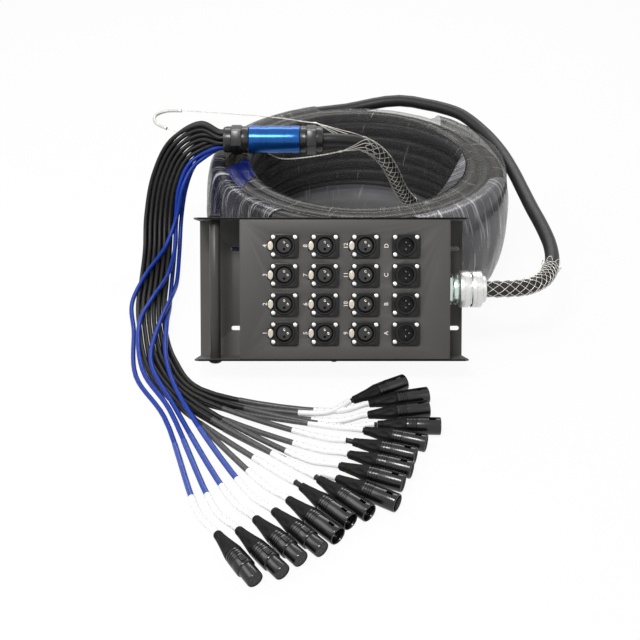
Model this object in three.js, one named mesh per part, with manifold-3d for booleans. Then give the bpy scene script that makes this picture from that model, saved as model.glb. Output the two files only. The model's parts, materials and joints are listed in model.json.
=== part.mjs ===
// Stage box snake: a steel stage box with sixteen panel connectors, a coiled
// multicore trunk cable, a breakout with its pulling grip, and a fan of sixteen
// tails that end in cable connectors. Millimetres, Z up. The box leans back on
// the coil, and its long side runs along X.

import * as THREE from 'three'
import { mergeVertices } from 'three/addons/utils/BufferGeometryUtils.js'
import Module from 'manifold-3d'

const wasm = await Module()
wasm.setup()

// Shared fits
const seat = 0.3
const overrun = 1
const slideFit = 0.35

// Faces round a body
const boreSides = 10
const jackSides = 8
const bodySides = 12
const shellSides = 8
const contactSides = 4
const hexSides = 6

// Box sizes
const boxLength = 304
const boxHeight = 158
const boxDepth = 62
const sheet = 2
const leanAngle = THREE.MathUtils.degToRad(31)
const handleBay = 50.5
const glandBay = 21.5
const plateChamfer = 5

// Mounting slots in the rear plate
const slotLength = 11
const slotWidth = 5
const slotCorner = 2.3
const slotRise = 46
const slotEdge = 9

// Handle bar at the left end
const barRadius = 6
const barInset = 22
const barDepth = 16
const barShank = 2.5
const barShankFit = 0.3
const barHeadRadius = 7.5
const barHeadHeight = 4
const barHeadShare = 0.5

// Panel connectors
const columnPitch = 44.5
const rowPitch = 32
const columns = 4
const rows = 4
const flangeLength = 31
const flangeWidth = 26
const flangeCorner = 3
const flangeThick = 2.4
const collarRadius = 11.4
const collarRise = 1.5
const jackBodyRadius = 11.8
const jackBodyDepth = 20
const shellSlotRadius = 9.6
const shellSlotDepth = 3
const insertRadius = 7.7
const panelHoleFit = 0.3
const maleCupRadius = 9
const maleCupDepth = 12

// XLR contacts
const contactCircle = 3.8
const pinRadius = 1.2
const pinLength = 9
const holeRadius = 1.5
const holeDepth = 7

// Panel connector latches
const tabOffset = 15
const tabLength = 10
const tabWidth = 5.8
const tabProud = 2
const tabSunk = 4
const tabCornerShare = 0.3

// Cable connectors
const connectorLength = 66
const bootLength = 23
const bootTailRadius = 4.3
const bootMouthRadius = 6.6
const shellRadius = 9.4
const shellGroove = 0.7
const shellGrooveShare = [0.4, 0.46]
const plugCupRadius = 7.9
const plugCupDepth = 14
const noseRadius = 8
const noseLength = 15
const releaseLength = 9
const releaseWidth = 5
const releaseProud = 0.9
const releaseTravel = 1.5
const releaseSunk = 1.2
const releasePlace = 44
const releaseTopShare = 0.8

// Tails
const tailRadius = 2.75
const tailSides = 5
const tailFineStations = 5
const innerSeals = 5
const outerSeals = 10
const sealGap = 0.1
const laneGap = 0.9
const layerGap = 1.2
const laneCount = 8
const blueLaneCount = 2
const approachRun = 34

// Trunk cable
const trunkRadius = 8.4
const trunkSides = 6
const coilInner = 140
const coilPitch = 17.6
const coilLayers = 3
const coilTurns = 19.722
const shiftTurn = 0.1
const coilSteps = 18
const coilStart = 0
const coilX = 38
const coilY = 250
const coilLift = 0.4
const climbTurn = 0.1
const climbHeight = 17.1
const climbSteps = 3
const leadSteps = 28
const riserSteps = 18

// Breakout
const breakoutY = 258
const breakoutZ = 152.6
const breakoutEnd = -139
const fanGlandLength = 33
const sleeveLength = 67
const trunkGlandLength = 30
const sleeveRadius = 18
const sleeveGroove = 0.7
const sleeveGrooveWidth = 3
const glandDomeRadius = 16.5
const glandHexRadius = 19.4
const glandCollarRadius = 17.5
const sealThick = 5
const sealRadius = 14.5
const domeShare = 0.28
const hexShare = 0.74
const domeMouthShare = 0.96
const sleeveGrooveShares = [0.24, 0.74]

// Box gland
const boxGlandFlange = 12
const boxGlandFlangeRadius = 18.3
const boxGlandNut = 26
const boxGlandNutRadius = 20.8
const boxGlandCollar = 5
const boxGlandCollarRadius = 15.4
const boxGlandGroove = 1.2

// Wire mesh grips
const meshThick = 1.2
const meshFit = 0.5
const leadMeshSteps = 5
const meshSides = 8
const wireSides = 4
const legSteps = 24
const wireRadius = 1.3
const bailRadius = 2.4
const bailShares = [0.42, 0.52]
const bailSteps = 5
const pullMeshSteps = [3, 12]
const legShares = [0.26, 0.19]

const finish = {
  blackSteel: { color: 0x2b2a29, roughness: 0.55, metalness: 0.3 },
  blackMetal: { color: 0x141414, roughness: 0.35, metalness: 0.6 },
  blackPlastic: { color: 0x1a1a1a, roughness: 0.5, metalness: 0 },
  ivoryPlastic: { color: 0xd9d3c6, roughness: 0.35, metalness: 0.2 },
  bareAluminium: { color: 0xcfd1d0, roughness: 0.3, metalness: 0.9 },
  blueAnodised: { color: 0x0a4fb0, roughness: 0.25, metalness: 0.8 },
  steelWire: { color: 0x8d8a84, roughness: 0.35, metalness: 0.9 },
  cableJacket: { color: 0x161616, roughness: 0.6, metalness: 0 }
}

function makeMaterial(look) {
  return new THREE.MeshStandardMaterial(look)
}

function toSolid(geometry) {
  const bare = geometry.clone()
  bare.deleteAttribute('normal')
  bare.deleteAttribute('uv')
  const merged = mergeVertices(bare, 1e-4)
  const vertProperties = new Float32Array(merged.attributes.position.array)
  const triVerts = new Uint32Array(merged.index.array)
  return new wasm.Manifold(new wasm.Mesh({ numProp: 3, vertProperties, triVerts }))
}

function fromSolid(solid) {
  const mesh = solid.getMesh()
  const geometry = new THREE.BufferGeometry()
  const points = new Float32Array(mesh.numVert * 3)
  for (let i = 0; i < mesh.numVert; i += 1) {
    for (let j = 0; j < 3; j += 1) {
      points[i * 3 + j] = mesh.vertProperties[i * mesh.numProp + j]
    }
  }
  geometry.setAttribute('position', new THREE.BufferAttribute(points, 3))
  geometry.setIndex(new THREE.BufferAttribute(new Uint32Array(mesh.triVerts), 1))
  geometry.computeVertexNormals()
  return geometry
}

function join(geometries) {
  return fromSolid(geometries.map(toSolid).reduce((a, b) => a.add(b)))
}

function cut(geometry, tools) {
  return fromSolid(tools.map(toSolid).reduce((a, b) => a.subtract(b), toSolid(geometry)))
}

// A body turned round an axis, from [distance along the axis, radius] points.
// The profile closes on the axis, or on itself where it holds a bore.
function turned(profile, sides, axis) {
  const points = profile.map(([along, radius]) => new THREE.Vector2(radius, along))
  const geometry = new THREE.LatheGeometry(points, sides)
  if (axis === 'x') geometry.rotateZ(-Math.PI / 2)
  if (axis === 'z') geometry.rotateX(Math.PI / 2)
  return geometry
}

function prism(shape, depth) {
  return new THREE.ExtrudeGeometry(shape, { depth, bevelEnabled: false })
}

function block(size, centre) {
  const geometry = new THREE.BoxGeometry(...size)
  geometry.translate(...centre)
  return geometry
}

// A rectangle with its corners cut off.
function cutRect(width, height, corner) {
  const x = width / 2
  const y = height / 2
  return new THREE.Shape([
    [-x + corner, -y], [x - corner, -y], [x, -y + corner], [x, y - corner],
    [x - corner, y], [-x + corner, y], [-x, y - corner], [-x, -y + corner]
  ].map(point => new THREE.Vector2(...point)))
}

function ringSection(radius, sides) {
  const shape = new THREE.Shape()
  for (let i = 0; i < sides; i += 1) {
    const turn = (i / sides) * Math.PI * 2
    const x = Math.cos(turn) * radius
    const y = Math.sin(turn) * radius
    if (i === 0) shape.moveTo(x, y)
    else shape.lineTo(x, y)
  }
  shape.closePath()
  return shape
}

function tube(curve, radius, sides, steps, bore) {
  const shape = ringSection(radius, sides)
  if (bore) shape.holes.push(new THREE.Path(ringSection(bore, sides).getPoints().reverse()))
  return new THREE.ExtrudeGeometry(shape, { steps, bevelEnabled: false, extrudePath: curve })
}

// A part of another curve, by shares of its length.
class Stretch extends THREE.Curve {
  constructor(curve, from, to) {
    super()
    this.curve = curve
    this.from = from
    this.to = to
  }

  getPoint(t, target = new THREE.Vector3()) {
    return this.curve.getPointAt(this.from + (this.to - this.from) * t, target)
  }
}

const assembly = new THREE.Group()

function place(parent, name, geometry, look, position = [0, 0, 0]) {
  const mesh = new THREE.Mesh(geometry, makeMaterial(look))
  mesh.name = name
  mesh.position.set(...position)
  parent.add(mesh)
  return mesh
}

// The box's own frame: X along it, Y from the panel face into the box, Z up the panel.
const box = new THREE.Group()
const panelFront = 0
const rearInside = boxDepth - sheet
const coverLeft = handleBay - boxLength / 2
const coverRight = boxLength / 2 - glandBay
const coverCentre = (coverLeft + coverRight) / 2
const barX = -boxLength / 2 + barInset
const glandHeight = boxHeight / 2
const glandDepth = boxDepth / 2

function jackPlaces() {
  const places = []
  for (let column = 0; column < columns; column += 1) {
    for (let row = 0; row < rows; row += 1) {
      const x = coverCentre + (column - (columns - 1) / 2) * columnPitch
      const z = boxHeight / 2 + (row - (rows - 1) / 2) * rowPitch
      places.push({ column, row, x, z })
    }
  }
  return places
}

function slotTool(x, z) {
  const tool = prism(cutRect(slotLength, slotWidth, slotCorner), sheet + 2 * overrun)
  tool.rotateX(Math.PI / 2)
  tool.translate(x, boxDepth + overrun, z)
  return tool
}

function backTray() {
  const section = new THREE.Shape()
  section.moveTo(panelFront, 0)
  section.lineTo(boxDepth, 0)
  section.lineTo(boxDepth, boxHeight)
  section.lineTo(panelFront, boxHeight)
  section.lineTo(panelFront, boxHeight - sheet)
  section.lineTo(rearInside, boxHeight - sheet)
  section.lineTo(rearInside, sheet)
  section.lineTo(panelFront, sheet)
  section.closePath()
  const channel = prism(section, boxLength)
  channel.rotateY(Math.PI / 2)
  channel.rotateX(Math.PI / 2)
  channel.translate(-boxLength / 2, 0, 0)
  const tools = []
  for (const side of [-1, 1]) {
    const corner = new THREE.Shape()
    corner.moveTo(0, -overrun)
    corner.lineTo(plateChamfer + overrun, -overrun)
    corner.lineTo(0, plateChamfer)
    corner.lineTo(-overrun, plateChamfer)
    corner.lineTo(-overrun, -overrun)
    corner.closePath()
    const tool = prism(corner, boxHeight + 2 * overrun)
    if (side > 0) tool.scale(-1, 1, -1)
    if (side > 0) tool.translate(0, 0, boxHeight + 2 * overrun)
    tool.translate(side * boxLength / 2, 0, -overrun)
    tools.push(tool)
    const slotX = (side < 0 ? coverLeft : boxLength / 2) - slotEdge
    for (const level of [-1, 1]) tools.push(slotTool(slotX, boxHeight / 2 + level * slotRise))
  }
  const shankHole = turned(
    [[-overrun, 0], [-overrun, barShank + barShankFit],
      [boxHeight + overrun, barShank + barShankFit], [boxHeight + overrun, 0]], boreSides, 'z')
  shankHole.translate(barX, barDepth, 0)
  tools.push(shankHole)
  return cut(channel, tools)
}

function frontCover() {
  const low = sheet + seat
  const high = boxHeight - sheet - seat
  const outline = new THREE.Shape()
  outline.moveTo(coverLeft, panelFront)
  outline.lineTo(coverRight, panelFront)
  outline.lineTo(coverRight, rearInside - seat)
  outline.lineTo(coverRight - sheet, rearInside - seat)
  outline.lineTo(coverRight - sheet, sheet)
  outline.lineTo(coverLeft + sheet, sheet)
  outline.lineTo(coverLeft + sheet, rearInside - seat)
  outline.lineTo(coverLeft, rearInside - seat)
  outline.closePath()
  const shell = prism(outline, high - low)
  shell.translate(0, 0, low)
  const tools = jackPlaces().map(({ x, z }) => {
    const hole = turned(
      [[-overrun, 0], [-overrun, jackBodyRadius + panelHoleFit],
        [sheet + overrun, jackBodyRadius + panelHoleFit], [sheet + overrun, 0]], jackSides, 'y')
    hole.translate(x, 0, z)
    return hole
  })
  for (const { x, z } of jackPlaces().filter(p => p.column < columns - 1)) {
    tools.push(tabNotch(x, z, panelFront - overrun, sheet + overrun, slideFit))
  }
  return cut(shell, tools)
}

// The notch at the end of the flange in which the push tab slides.
function tabNotch(x, z, front, back, fit) {
  return block([tabWidth + 2 * fit, back - front, tabLength + 2 * fit],
    [x - tabOffset, (front + back) / 2, z])
}

function flange() {
  const plate = prism(cutRect(flangeLength, flangeWidth, flangeCorner), flangeThick)
  plate.rotateX(Math.PI / 2)
  plate.translate(0, -seat, 0)
  return plate
}

// The flange with its raised collar, and the round body behind it.
function jackBlank(face) {
  const body = turned([
    [face, 0], [face, collarRadius], [-seat, jackBodyRadius], [jackBodyDepth, jackBodyRadius],
    [jackBodyDepth, 0]
  ], jackSides, 'y')
  return join([flange(), body])
}

function contactPlaces(reverse) {
  const turns = [0.5, 0, -0.5]
  return turns.map(turn => [
    Math.cos(turn * Math.PI) * contactCircle * (reverse ? -1 : 1),
    Math.sin(turn * Math.PI) * contactCircle
  ])
}

function femaleJack() {
  const face = -flangeThick - seat - collarRise
  const socket = turned([
    [face - overrun, shellSlotRadius], [face + shellSlotDepth, shellSlotRadius],
    [face + shellSlotDepth, insertRadius], [face - overrun, insertRadius],
    [face - overrun, shellSlotRadius]
  ], jackSides, 'y')
  const pocket = tabNotch(0, 0, face - overrun, overrun, slideFit)
  return cut(jackBlank(face), [socket, pocket])
}

function maleJack() {
  const face = -flangeThick - seat - collarRise
  const cup = turned([
    [face - overrun, 0], [face - overrun, maleCupRadius],
    [face + maleCupDepth, maleCupRadius], [face + maleCupDepth, 0]
  ], jackSides, 'y')
  const pins = contactPlaces(false).map(([x, z]) => {
    const pin = turned([
      [face + maleCupDepth - pinLength, 0], [face + maleCupDepth - pinLength, pinRadius],
      [face + maleCupDepth + overrun, pinRadius], [face + maleCupDepth + overrun, 0]
    ], contactSides, 'y')
    pin.translate(x, 0, z)
    return pin
  })
  return join([cut(jackBlank(face), [cup]), ...pins])
}

function pushTab() {
  const front = -flangeThick - seat - tabProud
  const thick = tabProud + tabSunk
  const tab = prism(cutRect(tabWidth, tabLength, tabWidth * tabCornerShare), thick)
  tab.rotateX(Math.PI / 2)
  tab.translate(-tabOffset, front + thick, 0)
  return tab
}

place(box, 'back_tray', backTray(), finish.blackSteel)
place(box, 'front_cover', frontCover(), finish.blackSteel)

const handle = turned([
  [-barHeadHeight - seat, 0], [-barHeadHeight - seat, barHeadRadius * barHeadShare],
  [-seat, barHeadRadius], [-seat, barShank],
  [sheet + seat, barShank], [sheet + seat, barRadius], [boxHeight - sheet - seat, barRadius],
  [boxHeight - sheet - seat, barShank], [boxHeight + seat, barShank],
  [boxHeight + seat, barHeadRadius],
  [boxHeight + seat + barHeadHeight, barHeadRadius * barHeadShare], [boxHeight + seat + barHeadHeight, 0]
], boreSides, 'z')
place(box, 'handle_bar', handle, finish.blackSteel, [barX, barDepth, 0])

const femaleGeometry = femaleJack()
const maleGeometry = maleJack()
const tabGeometry = pushTab()
const returnLetters = ['a', 'b', 'c', 'd']
for (const { column, row, x, z } of jackPlaces()) {
  if (column < columns - 1) {
    const number = String(column * rows + row + 1).padStart(2, '0')
    place(box, `jack_${number}`, femaleGeometry.clone(), finish.blackMetal, [x, 0, z])
    place(box, `latch_${number}`, tabGeometry.clone(), finish.ivoryPlastic, [x, 0, z])
  } else {
    place(box, `return_${returnLetters[row]}`, maleGeometry.clone(), finish.blackMetal, [x, 0, z])
  }
}

// The box stands on the rear edge of its lower side plate.
box.rotation.x = -leanAngle
box.position.z = boxDepth * Math.sin(leanAngle)
box.updateMatrixWorld(true)
const boxBounds = new THREE.Box3().setFromObject(box, true)
box.position.y = -(boxBounds.min.y + boxBounds.max.y) / 2
box.position.x = -(boxBounds.min.x + boxBounds.max.x) / 2
box.updateMatrixWorld(true)
assembly.add(box)

// The trunk cable leaves the gland in the box's right end wall.
const glandFace = coverRight + seat
const glandEnd = glandFace + boxGlandFlange + boxGlandNut + boxGlandCollar
const leadExit = box.localToWorld(new THREE.Vector3(glandEnd + seat, glandDepth, glandHeight))

// Routes of the free cable, chosen by hand, from the piece it leaves to the coil.
const leadRoute = [
  [222, 4, 84], [244, 20, 85], [258, 48, 88], [263, 84, 91], [260, 124, 96],
  [254, 165, 101], [249, 205, 106], [243, 250, 112], [233, 298, 119], [215, 342, 128],
  [187, 381, 138]
]
const riserRoute = [
  [12, 258, 152], [34, 263, 148], [56, 274, 134], [74, 288, 112], [88, 303, 84],
  [99, 317, 56], [112, 328, 32], [129, 332, 16], [149, 325, 9.6], [165, 307, 8.8], [180.5, 284, 8.8]
]

const layerTurns = (coilTurns - shiftTurn * (coilLayers - 1)) / coilLayers
const coilBase = trunkRadius + coilLift
const coilTop = coilBase + layerTurns * coilPitch
const outerLayer = coilInner + trunkRadius + (coilLayers - 1) * coilPitch

// A point of the winding, a number of turns from its start. Each layer is a helix
// as high as the coil, and the cable shifts out to the next one at its end.
function windingAt(turns) {
  const span = layerTurns + shiftTurn
  const layer = Math.min(Math.floor(turns / span), coilLayers - 1)
  const inLayer = turns - layer * span
  const climb = Math.min(inLayer / layerTurns, 1) * (coilTop - coilBase)
  const shift = Math.max((inLayer - layerTurns) / shiftTurn, 0)
  const radius = coilInner + trunkRadius + (layer + shift) * coilPitch
  const height = layer % 2 === 0 ? coilBase + climb : coilTop - climb
  return ringPoint(turns, radius, height)
}

function ringPoint(turns, radius, height) {
  const angle = coilStart - turns * Math.PI * 2
  return new THREE.Vector3(coilX + radius * Math.cos(angle), coilY + radius * Math.sin(angle), height)
}

// After its last turn the cable climbs on to the top of the coil.
function climbAt(share) {
  const ease = (1 - Math.cos(share * Math.PI)) / 2
  return ringPoint(coilTurns + share * climbTurn, outerLayer + ease * trunkRadius,
    coilTop + ease * climbHeight)
}

// Each end of the winding runs straight for one cable diameter.
const runTurn = trunkRadius / (Math.PI * (coilInner + trunkRadius))
const windingPoints = [ringPoint(-runTurn, coilInner + trunkRadius, coilBase)]
const windingCount = Math.round(coilTurns * coilSteps)
for (let i = 0; i <= windingCount; i += 1) {
  windingPoints.push(windingAt((i / windingCount) * coilTurns))
}
for (let i = 1; i <= climbSteps; i += 1) windingPoints.push(climbAt(i / climbSteps))
const climbEnd = coilTop + climbHeight
windingPoints.push(ringPoint(coilTurns + climbTurn + runTurn, outerLayer + trunkRadius, climbEnd))

// A tube through given points, each ring of its section square to the path.
function sweep(points, radius, sides) {
  const frames = new PointPath(points).computeFrenetFrames(points.length - 1, false)
  const vertices = []
  const faces = []
  points.forEach((point, i) => {
    for (let j = 0; j < sides; j += 1) {
      const turn = (j / sides) * Math.PI * 2
      const spot = point.clone()
        .addScaledVector(frames.normals[i], Math.cos(turn) * radius)
        .addScaledVector(frames.binormals[i], Math.sin(turn) * radius)
      vertices.push(spot.x, spot.y, spot.z)
    }
  })
  for (let i = 0; i < points.length - 1; i += 1) {
    for (let j = 0; j < sides; j += 1) {
      const a = i * sides + j
      const b = i * sides + ((j + 1) % sides)
      faces.push(a, b, b + sides, a, b + sides, a + sides)
    }
  }
  const last = (points.length - 1) * sides
  for (let j = 1; j < sides - 1; j += 1) {
    faces.push(0, j + 1, j)
    faces.push(last, last + j, last + j + 1)
  }
  const geometry = new THREE.BufferGeometry()
  geometry.setAttribute('position', new THREE.BufferAttribute(new Float32Array(vertices), 3))
  geometry.setIndex(faces)
  geometry.computeVertexNormals()
  return geometry
}

// The winding's own points as a path, one step a point.
class PointPath extends THREE.Curve {
  constructor(points) {
    super()
    this.points = points
  }

  getPoint(t, target = new THREE.Vector3()) {
    const spot = t * (this.points.length - 1)
    const i = Math.min(Math.floor(spot), this.points.length - 2)
    return target.lerpVectors(this.points[i], this.points[i + 1], spot - i)
  }

  getPointAt(t, target) {
    return this.getPoint(t, target)
  }

  getTangent(t, target = new THREE.Vector3()) {
    const count = this.points.length - 1
    const i = Math.round(t * count)
    const from = this.points[Math.max(i - 1, 0)]
    const to = this.points[Math.min(i + 1, count)]
    return target.subVectors(to, from).normalize()
  }

  getTangentAt(t, target) {
    return this.getTangent(t, target)
  }
}

// The least gap between turns of the winding, from its points.
function leastGap(points, radius) {
  let least = Infinity
  const skip = Math.round(coilSteps / 2)
  for (let i = 0; i < points.length; i += 1) {
    for (let j = i + skip; j < points.length; j += 1) {
      least = Math.min(least, points[i].distanceTo(points[j]))
    }
  }
  return least - 2 * radius
}
console.log('least gap of the coil to itself, mm:', leastGap(windingPoints, trunkRadius).toFixed(2))

place(assembly, 'trunk_coil', sweep(windingPoints, trunkRadius, trunkSides), finish.cableJacket)

// A straight run of one diameter at an end of a cable, square to what it meets.
function runFrom(point, direction, diameter) {
  const start = point.clone().addScaledVector(direction, seat)
  return [start, start.clone().addScaledVector(direction, diameter)]
}

const coilEnd = windingPoints[windingPoints.length - 1]
const coilEndHeading = coilEnd.clone().sub(windingPoints[windingPoints.length - 2]).normalize()
const coilStartHeading = windingPoints[0].clone().sub(windingPoints[1]).normalize()
const alongX = new THREE.Vector3(1, 0, 0)
const leadPoints = [
  ...runFrom(leadExit, alongX, 2 * trunkRadius),
  ...leadRoute.map(p => new THREE.Vector3(...p)),
  ...runFrom(coilEnd, coilEndHeading, 2 * trunkRadius).reverse()
]
const leadCurve = new THREE.CatmullRomCurve3(leadPoints, false, 'centripetal')
place(assembly, 'trunk_lead', tube(leadCurve, trunkRadius, trunkSides, leadSteps), finish.cableJacket)

const riserExit = new THREE.Vector3(breakoutEnd + fanGlandLength + sleeveLength + trunkGlandLength,
  breakoutY, breakoutZ)
const riserPoints = [
  ...runFrom(riserExit, alongX, 2 * trunkRadius),
  ...riserRoute.slice(1).map(p => new THREE.Vector3(...p)),
  ...runFrom(windingPoints[0], coilStartHeading, trunkRadius).reverse()
]
const riserCurve = new THREE.CatmullRomCurve3(riserPoints, false, 'centripetal')
place(assembly, 'trunk_riser', tube(riserCurve, trunkRadius, trunkSides, riserSteps), finish.cableJacket)

// The box gland: a threaded flange, a clamp nut in two halves and a collar that
// anchors the first mesh grip.
function boxGland() {
  const nutStart = boxGlandFlange
  const nutEnd = boxGlandFlange + boxGlandNut
  const collarEnd = nutEnd + boxGlandCollar
  const middle = (nutStart + nutEnd) / 2
  const groove = boxGlandGroove
  return turned([
    [0, 0], [0, boxGlandFlangeRadius], [nutStart, boxGlandFlangeRadius],
    [nutStart, boxGlandNutRadius - groove], [nutStart + groove, boxGlandNutRadius],
    [middle - groove / 2, boxGlandNutRadius], [middle - groove / 2, boxGlandNutRadius - groove],
    [middle + groove / 2, boxGlandNutRadius - groove], [middle + groove / 2, boxGlandNutRadius],
    [nutEnd - groove, boxGlandNutRadius], [nutEnd, boxGlandNutRadius - groove],
    [nutEnd, boxGlandCollarRadius], [collarEnd, boxGlandCollarRadius - groove], [collarEnd, 0]
  ], bodySides, 'x')
}

// A mesh sleeve between two of the cable's own steps. Its bore clears the cable's corners.
const meshBore = (trunkRadius + meshFit) / Math.cos(Math.PI / meshSides)

function meshSleeve(curve, cableSteps, from, to) {
  const stretch = new Stretch(curve, from / cableSteps, to / cableSteps)
  return tube(stretch, meshBore + meshThick, meshSides, to - from, meshBore)
}

const glandPlace = leadExit.clone().addScaledVector(alongX, glandFace - glandEnd - seat)
const glandBody = boxGland()
glandBody.translate(...glandPlace.toArray())
const leadMesh = meshSleeve(leadCurve, leadSteps, 0, leadMeshSteps)
const meshRoot = turned([[-seat - overrun, meshBore], [-seat - overrun, meshBore + meshThick],
  [overrun, meshBore + meshThick], [overrun, meshBore], [-seat - overrun, meshBore]], bodySides, 'x')
meshRoot.translate(...leadExit.toArray())
place(assembly, 'box_gland', join([glandBody, leadMesh, meshRoot]), finish.bareAluminium)

// The breakout: a gland at each end of an anodised sleeve.
const breakoutPlace = [breakoutEnd, breakoutY, breakoutZ]
const sleeveStart = fanGlandLength + seat
const sleeveEnd = fanGlandLength + sleeveLength - seat

function fanGland() {
  const hexStart = fanGlandLength * domeShare
  const hexEnd = fanGlandLength * hexShare
  const shell = turned([
    [0, 0], [0, glandDomeRadius * domeMouthShare], [hexStart / 2, glandDomeRadius],
    [hexStart, glandDomeRadius], [hexEnd, glandDomeRadius], [hexEnd, glandCollarRadius],
    [fanGlandLength, glandCollarRadius], [fanGlandLength, 0]
  ], bodySides, 'x')
  const nut = turned([[hexStart, 0], [hexStart, glandHexRadius], [hexEnd, glandHexRadius],
    [hexEnd, 0]], hexSides, 'x')
  const mouth = turned([[-overrun, 0], [-overrun, sealRadius + seat],
    [sealThick + seat, sealRadius + seat], [sealThick + seat, 0]], bodySides, 'x')
  return fromSolid(toSolid(shell).add(toSolid(nut)).subtract(toSolid(mouth)))
}

function trunkGland() {
  const collarEnd = trunkGlandLength * (1 - hexShare)
  const hexEnd = trunkGlandLength * (1 - domeShare)
  const shell = turned([
    [0, 0], [0, glandCollarRadius], [collarEnd, glandCollarRadius], [collarEnd, glandDomeRadius],
    [hexEnd, glandDomeRadius], [(hexEnd + trunkGlandLength) / 2, glandDomeRadius],
    [trunkGlandLength, glandDomeRadius * domeMouthShare], [trunkGlandLength, 0]
  ], bodySides, 'x')
  const nut = turned([[collarEnd, 0], [collarEnd, glandHexRadius], [hexEnd, glandHexRadius],
    [hexEnd, 0]], hexSides, 'x')
  return join([shell, nut])
}

function breakoutSleeve() {
  const length = sleeveEnd - sleeveStart
  const profile = [[0, 0], [0, sleeveRadius]]
  for (const share of sleeveGrooveShares) {
    const start = length * share
    profile.push([start, sleeveRadius], [start, sleeveRadius - sleeveGroove])
    profile.push([start + sleeveGrooveWidth, sleeveRadius - sleeveGroove])
    profile.push([start + sleeveGrooveWidth, sleeveRadius])
  }
  profile.push([length, sleeveRadius], [length, 0])
  return turned(profile, bodySides, 'x')
}

place(assembly, 'fan_gland', fanGland(), finish.blackPlastic, breakoutPlace)
place(assembly, 'breakout_sleeve', breakoutSleeve(), finish.blueAnodised,
  [breakoutEnd + sleeveStart, breakoutY, breakoutZ])
place(assembly, 'trunk_gland', trunkGland(), finish.blackPlastic,
  [breakoutEnd + fanGlandLength + sleeveLength, breakoutY, breakoutZ])

// The pulling grip: a mesh sleeve on the riser, two wire legs and a sleeved bail.
const legRoute = [
  [8, 282, 160], [-36, 292, 164], [-71, 305, 164], [-140, 320, 164],
  [-205, 332, 163], [-226, 334, 161], [-238, 326, 158], [-236, 312, 154], [-219, 301, 150],
  [-175, 285, 144], [-140, 281, 140], [-110, 277, 135.5], [-84, 265, 130.5], [-64, 247, 131],
  [-35, 236, 137], [-7, 237, 141]
]

// A point in the wall of the pulling mesh, on one side of the riser.
function meshWallPoint(share, side) {
  const tangent = riserCurve.getTangentAt(share)
  const sideways = new THREE.Vector3(-tangent.y, tangent.x, 0).normalize()
  return riserCurve.getPointAt(share)
    .addScaledVector(sideways, side * (meshBore + meshThick / 2))
}

const [legJoin, legLeave] = legShares
const legCurve = new THREE.CatmullRomCurve3([
  meshWallPoint(legJoin, 1), meshWallPoint(legLeave, 1),
  ...legRoute.map(p => new THREE.Vector3(...p)),
  meshWallPoint(legLeave, -1), meshWallPoint(legJoin, -1)
], false, 'centripetal')
const pullingGrip = join([
  meshSleeve(riserCurve, riserSteps, ...pullMeshSteps),
  tube(legCurve, wireRadius, wireSides, legSteps),
  tube(new Stretch(legCurve, ...bailShares), bailRadius, hexSides, bailSteps)
])
place(assembly, 'pulling_grip', pullingGrip, finish.steelWire)

// The fan of tails. Each keeps a lane of the bundle: across it from the right, and
// its layer. The blue ones cross over the others on their way down.
const bundleRoute = [
  [-168, 258, 151], [-194, 251, 136], [-212, 238, 102], [-221, 220, 60], [-222, 188, 26],
  [-221, 140, 9], [-217, 84, 6.4], [-208, 30, 6.4], [-187, -40, 6.4], [-150, -96, 6.4]
]
const acrossRoute = [
  [0, 0.2, 1], [-0.6, 0.3, 0.75], [-0.9, 0.3, 0.3], [-1, 0, 0], [-1, 0, 0],
  [-1, 0, 0], [-1, 0, 0], [-1, 0.15, 0], [-0.9, -0.45, 0], [-0.65, -0.75, 0]
]
const overRoute = [
  [0, -1, 0], [-0.2, -0.9, 0.2], [-0.3, -0.8, 0.3], [-0.2, -0.8, 0.5], [0, -0.5, 0.85],
  [0, -0.2, 1], [0, 0, 1], [0, 0, 1], [0, 0, 1], [0, 0, 1]
]
const blueSeals = [2, 0, 3, 1]
const lanePitch = 2 * tailRadius + laneGap
const layerPitch = 2 * tailRadius + layerGap
const blueLanes = [
  [1, 1, 1, 1, 1, 1, 1, 1.6, 3.6, 6.6],
  [0, 0, 0, 0, 0, 0, 0.6, 3, 6.4, 8.1],
  [1, 1, 1, 0.8, 0.6, 1.6, 4.2, 6.8, 8.1, 9.2],
  [0, 0, 0, 0.2, 2.6, 6, 8.2, 8.2, 9.4, 10.4]
]
const blueLayers = [
  [0, 0, 0, 0, 0, 0, 0, 2, 2, 2],
  [0, 0, 0, 0, 0, 0, 2, 2, 2, 1],
  [1, 1, 1, 1, 2, 2, 2, 2, 1, 1],
  [1, 1, 1.6, 2, 2, 2, 1, 0, 0, 0]
]
// Where each tail ends: the mouth of its connector's boot, and its heading in degrees.
const tailEnds = [
  [23, -108, 29], [40, -114, 13], [38, -133, 9], [47, -149, -2], [33, -158, -18],
  [21, -176, -19], [16, -195, -20], [7, -212, -22], [4, -230, -31], [-14, -231, -44],
  [-31, -241, -45], [-43, -259, -45], [-56, -274, -47], [-73, -284, -49], [-88, -298, -50],
  [-107, -303, -55]
]
const tailCount = tailEnds.length
const blackCount = tailCount - blueLanes.length
const restHeight = shellRadius + seat

// The tails leave the seal in two rings round a centre one.
function sealPlace(order) {
  if (order === 0) return [0, 0]
  const inner = order <= innerSeals
  const turn = inner ? (order - 1) / innerSeals : (order - 1 - innerSeals) / outerSeals
  const radius = (2 * tailRadius + sealGap) * (inner ? 1 : 2)
  return [Math.cos(turn * Math.PI * 2) * radius, Math.sin(turn * Math.PI * 2) * radius]
}

// From the lowest up, and in each pair the farther one first, as the lanes lie.
const sealPlaces = tailEnds.map((end, order) => sealPlace(order)).sort((a, b) => a[1] - b[1])
for (let i = 0; i < tailCount; i += 2) {
  if (sealPlaces[i][0] < sealPlaces[i + 1][0]) {
    [sealPlaces[i], sealPlaces[i + 1]] = [sealPlaces[i + 1], sealPlaces[i]]
  }
}

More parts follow.
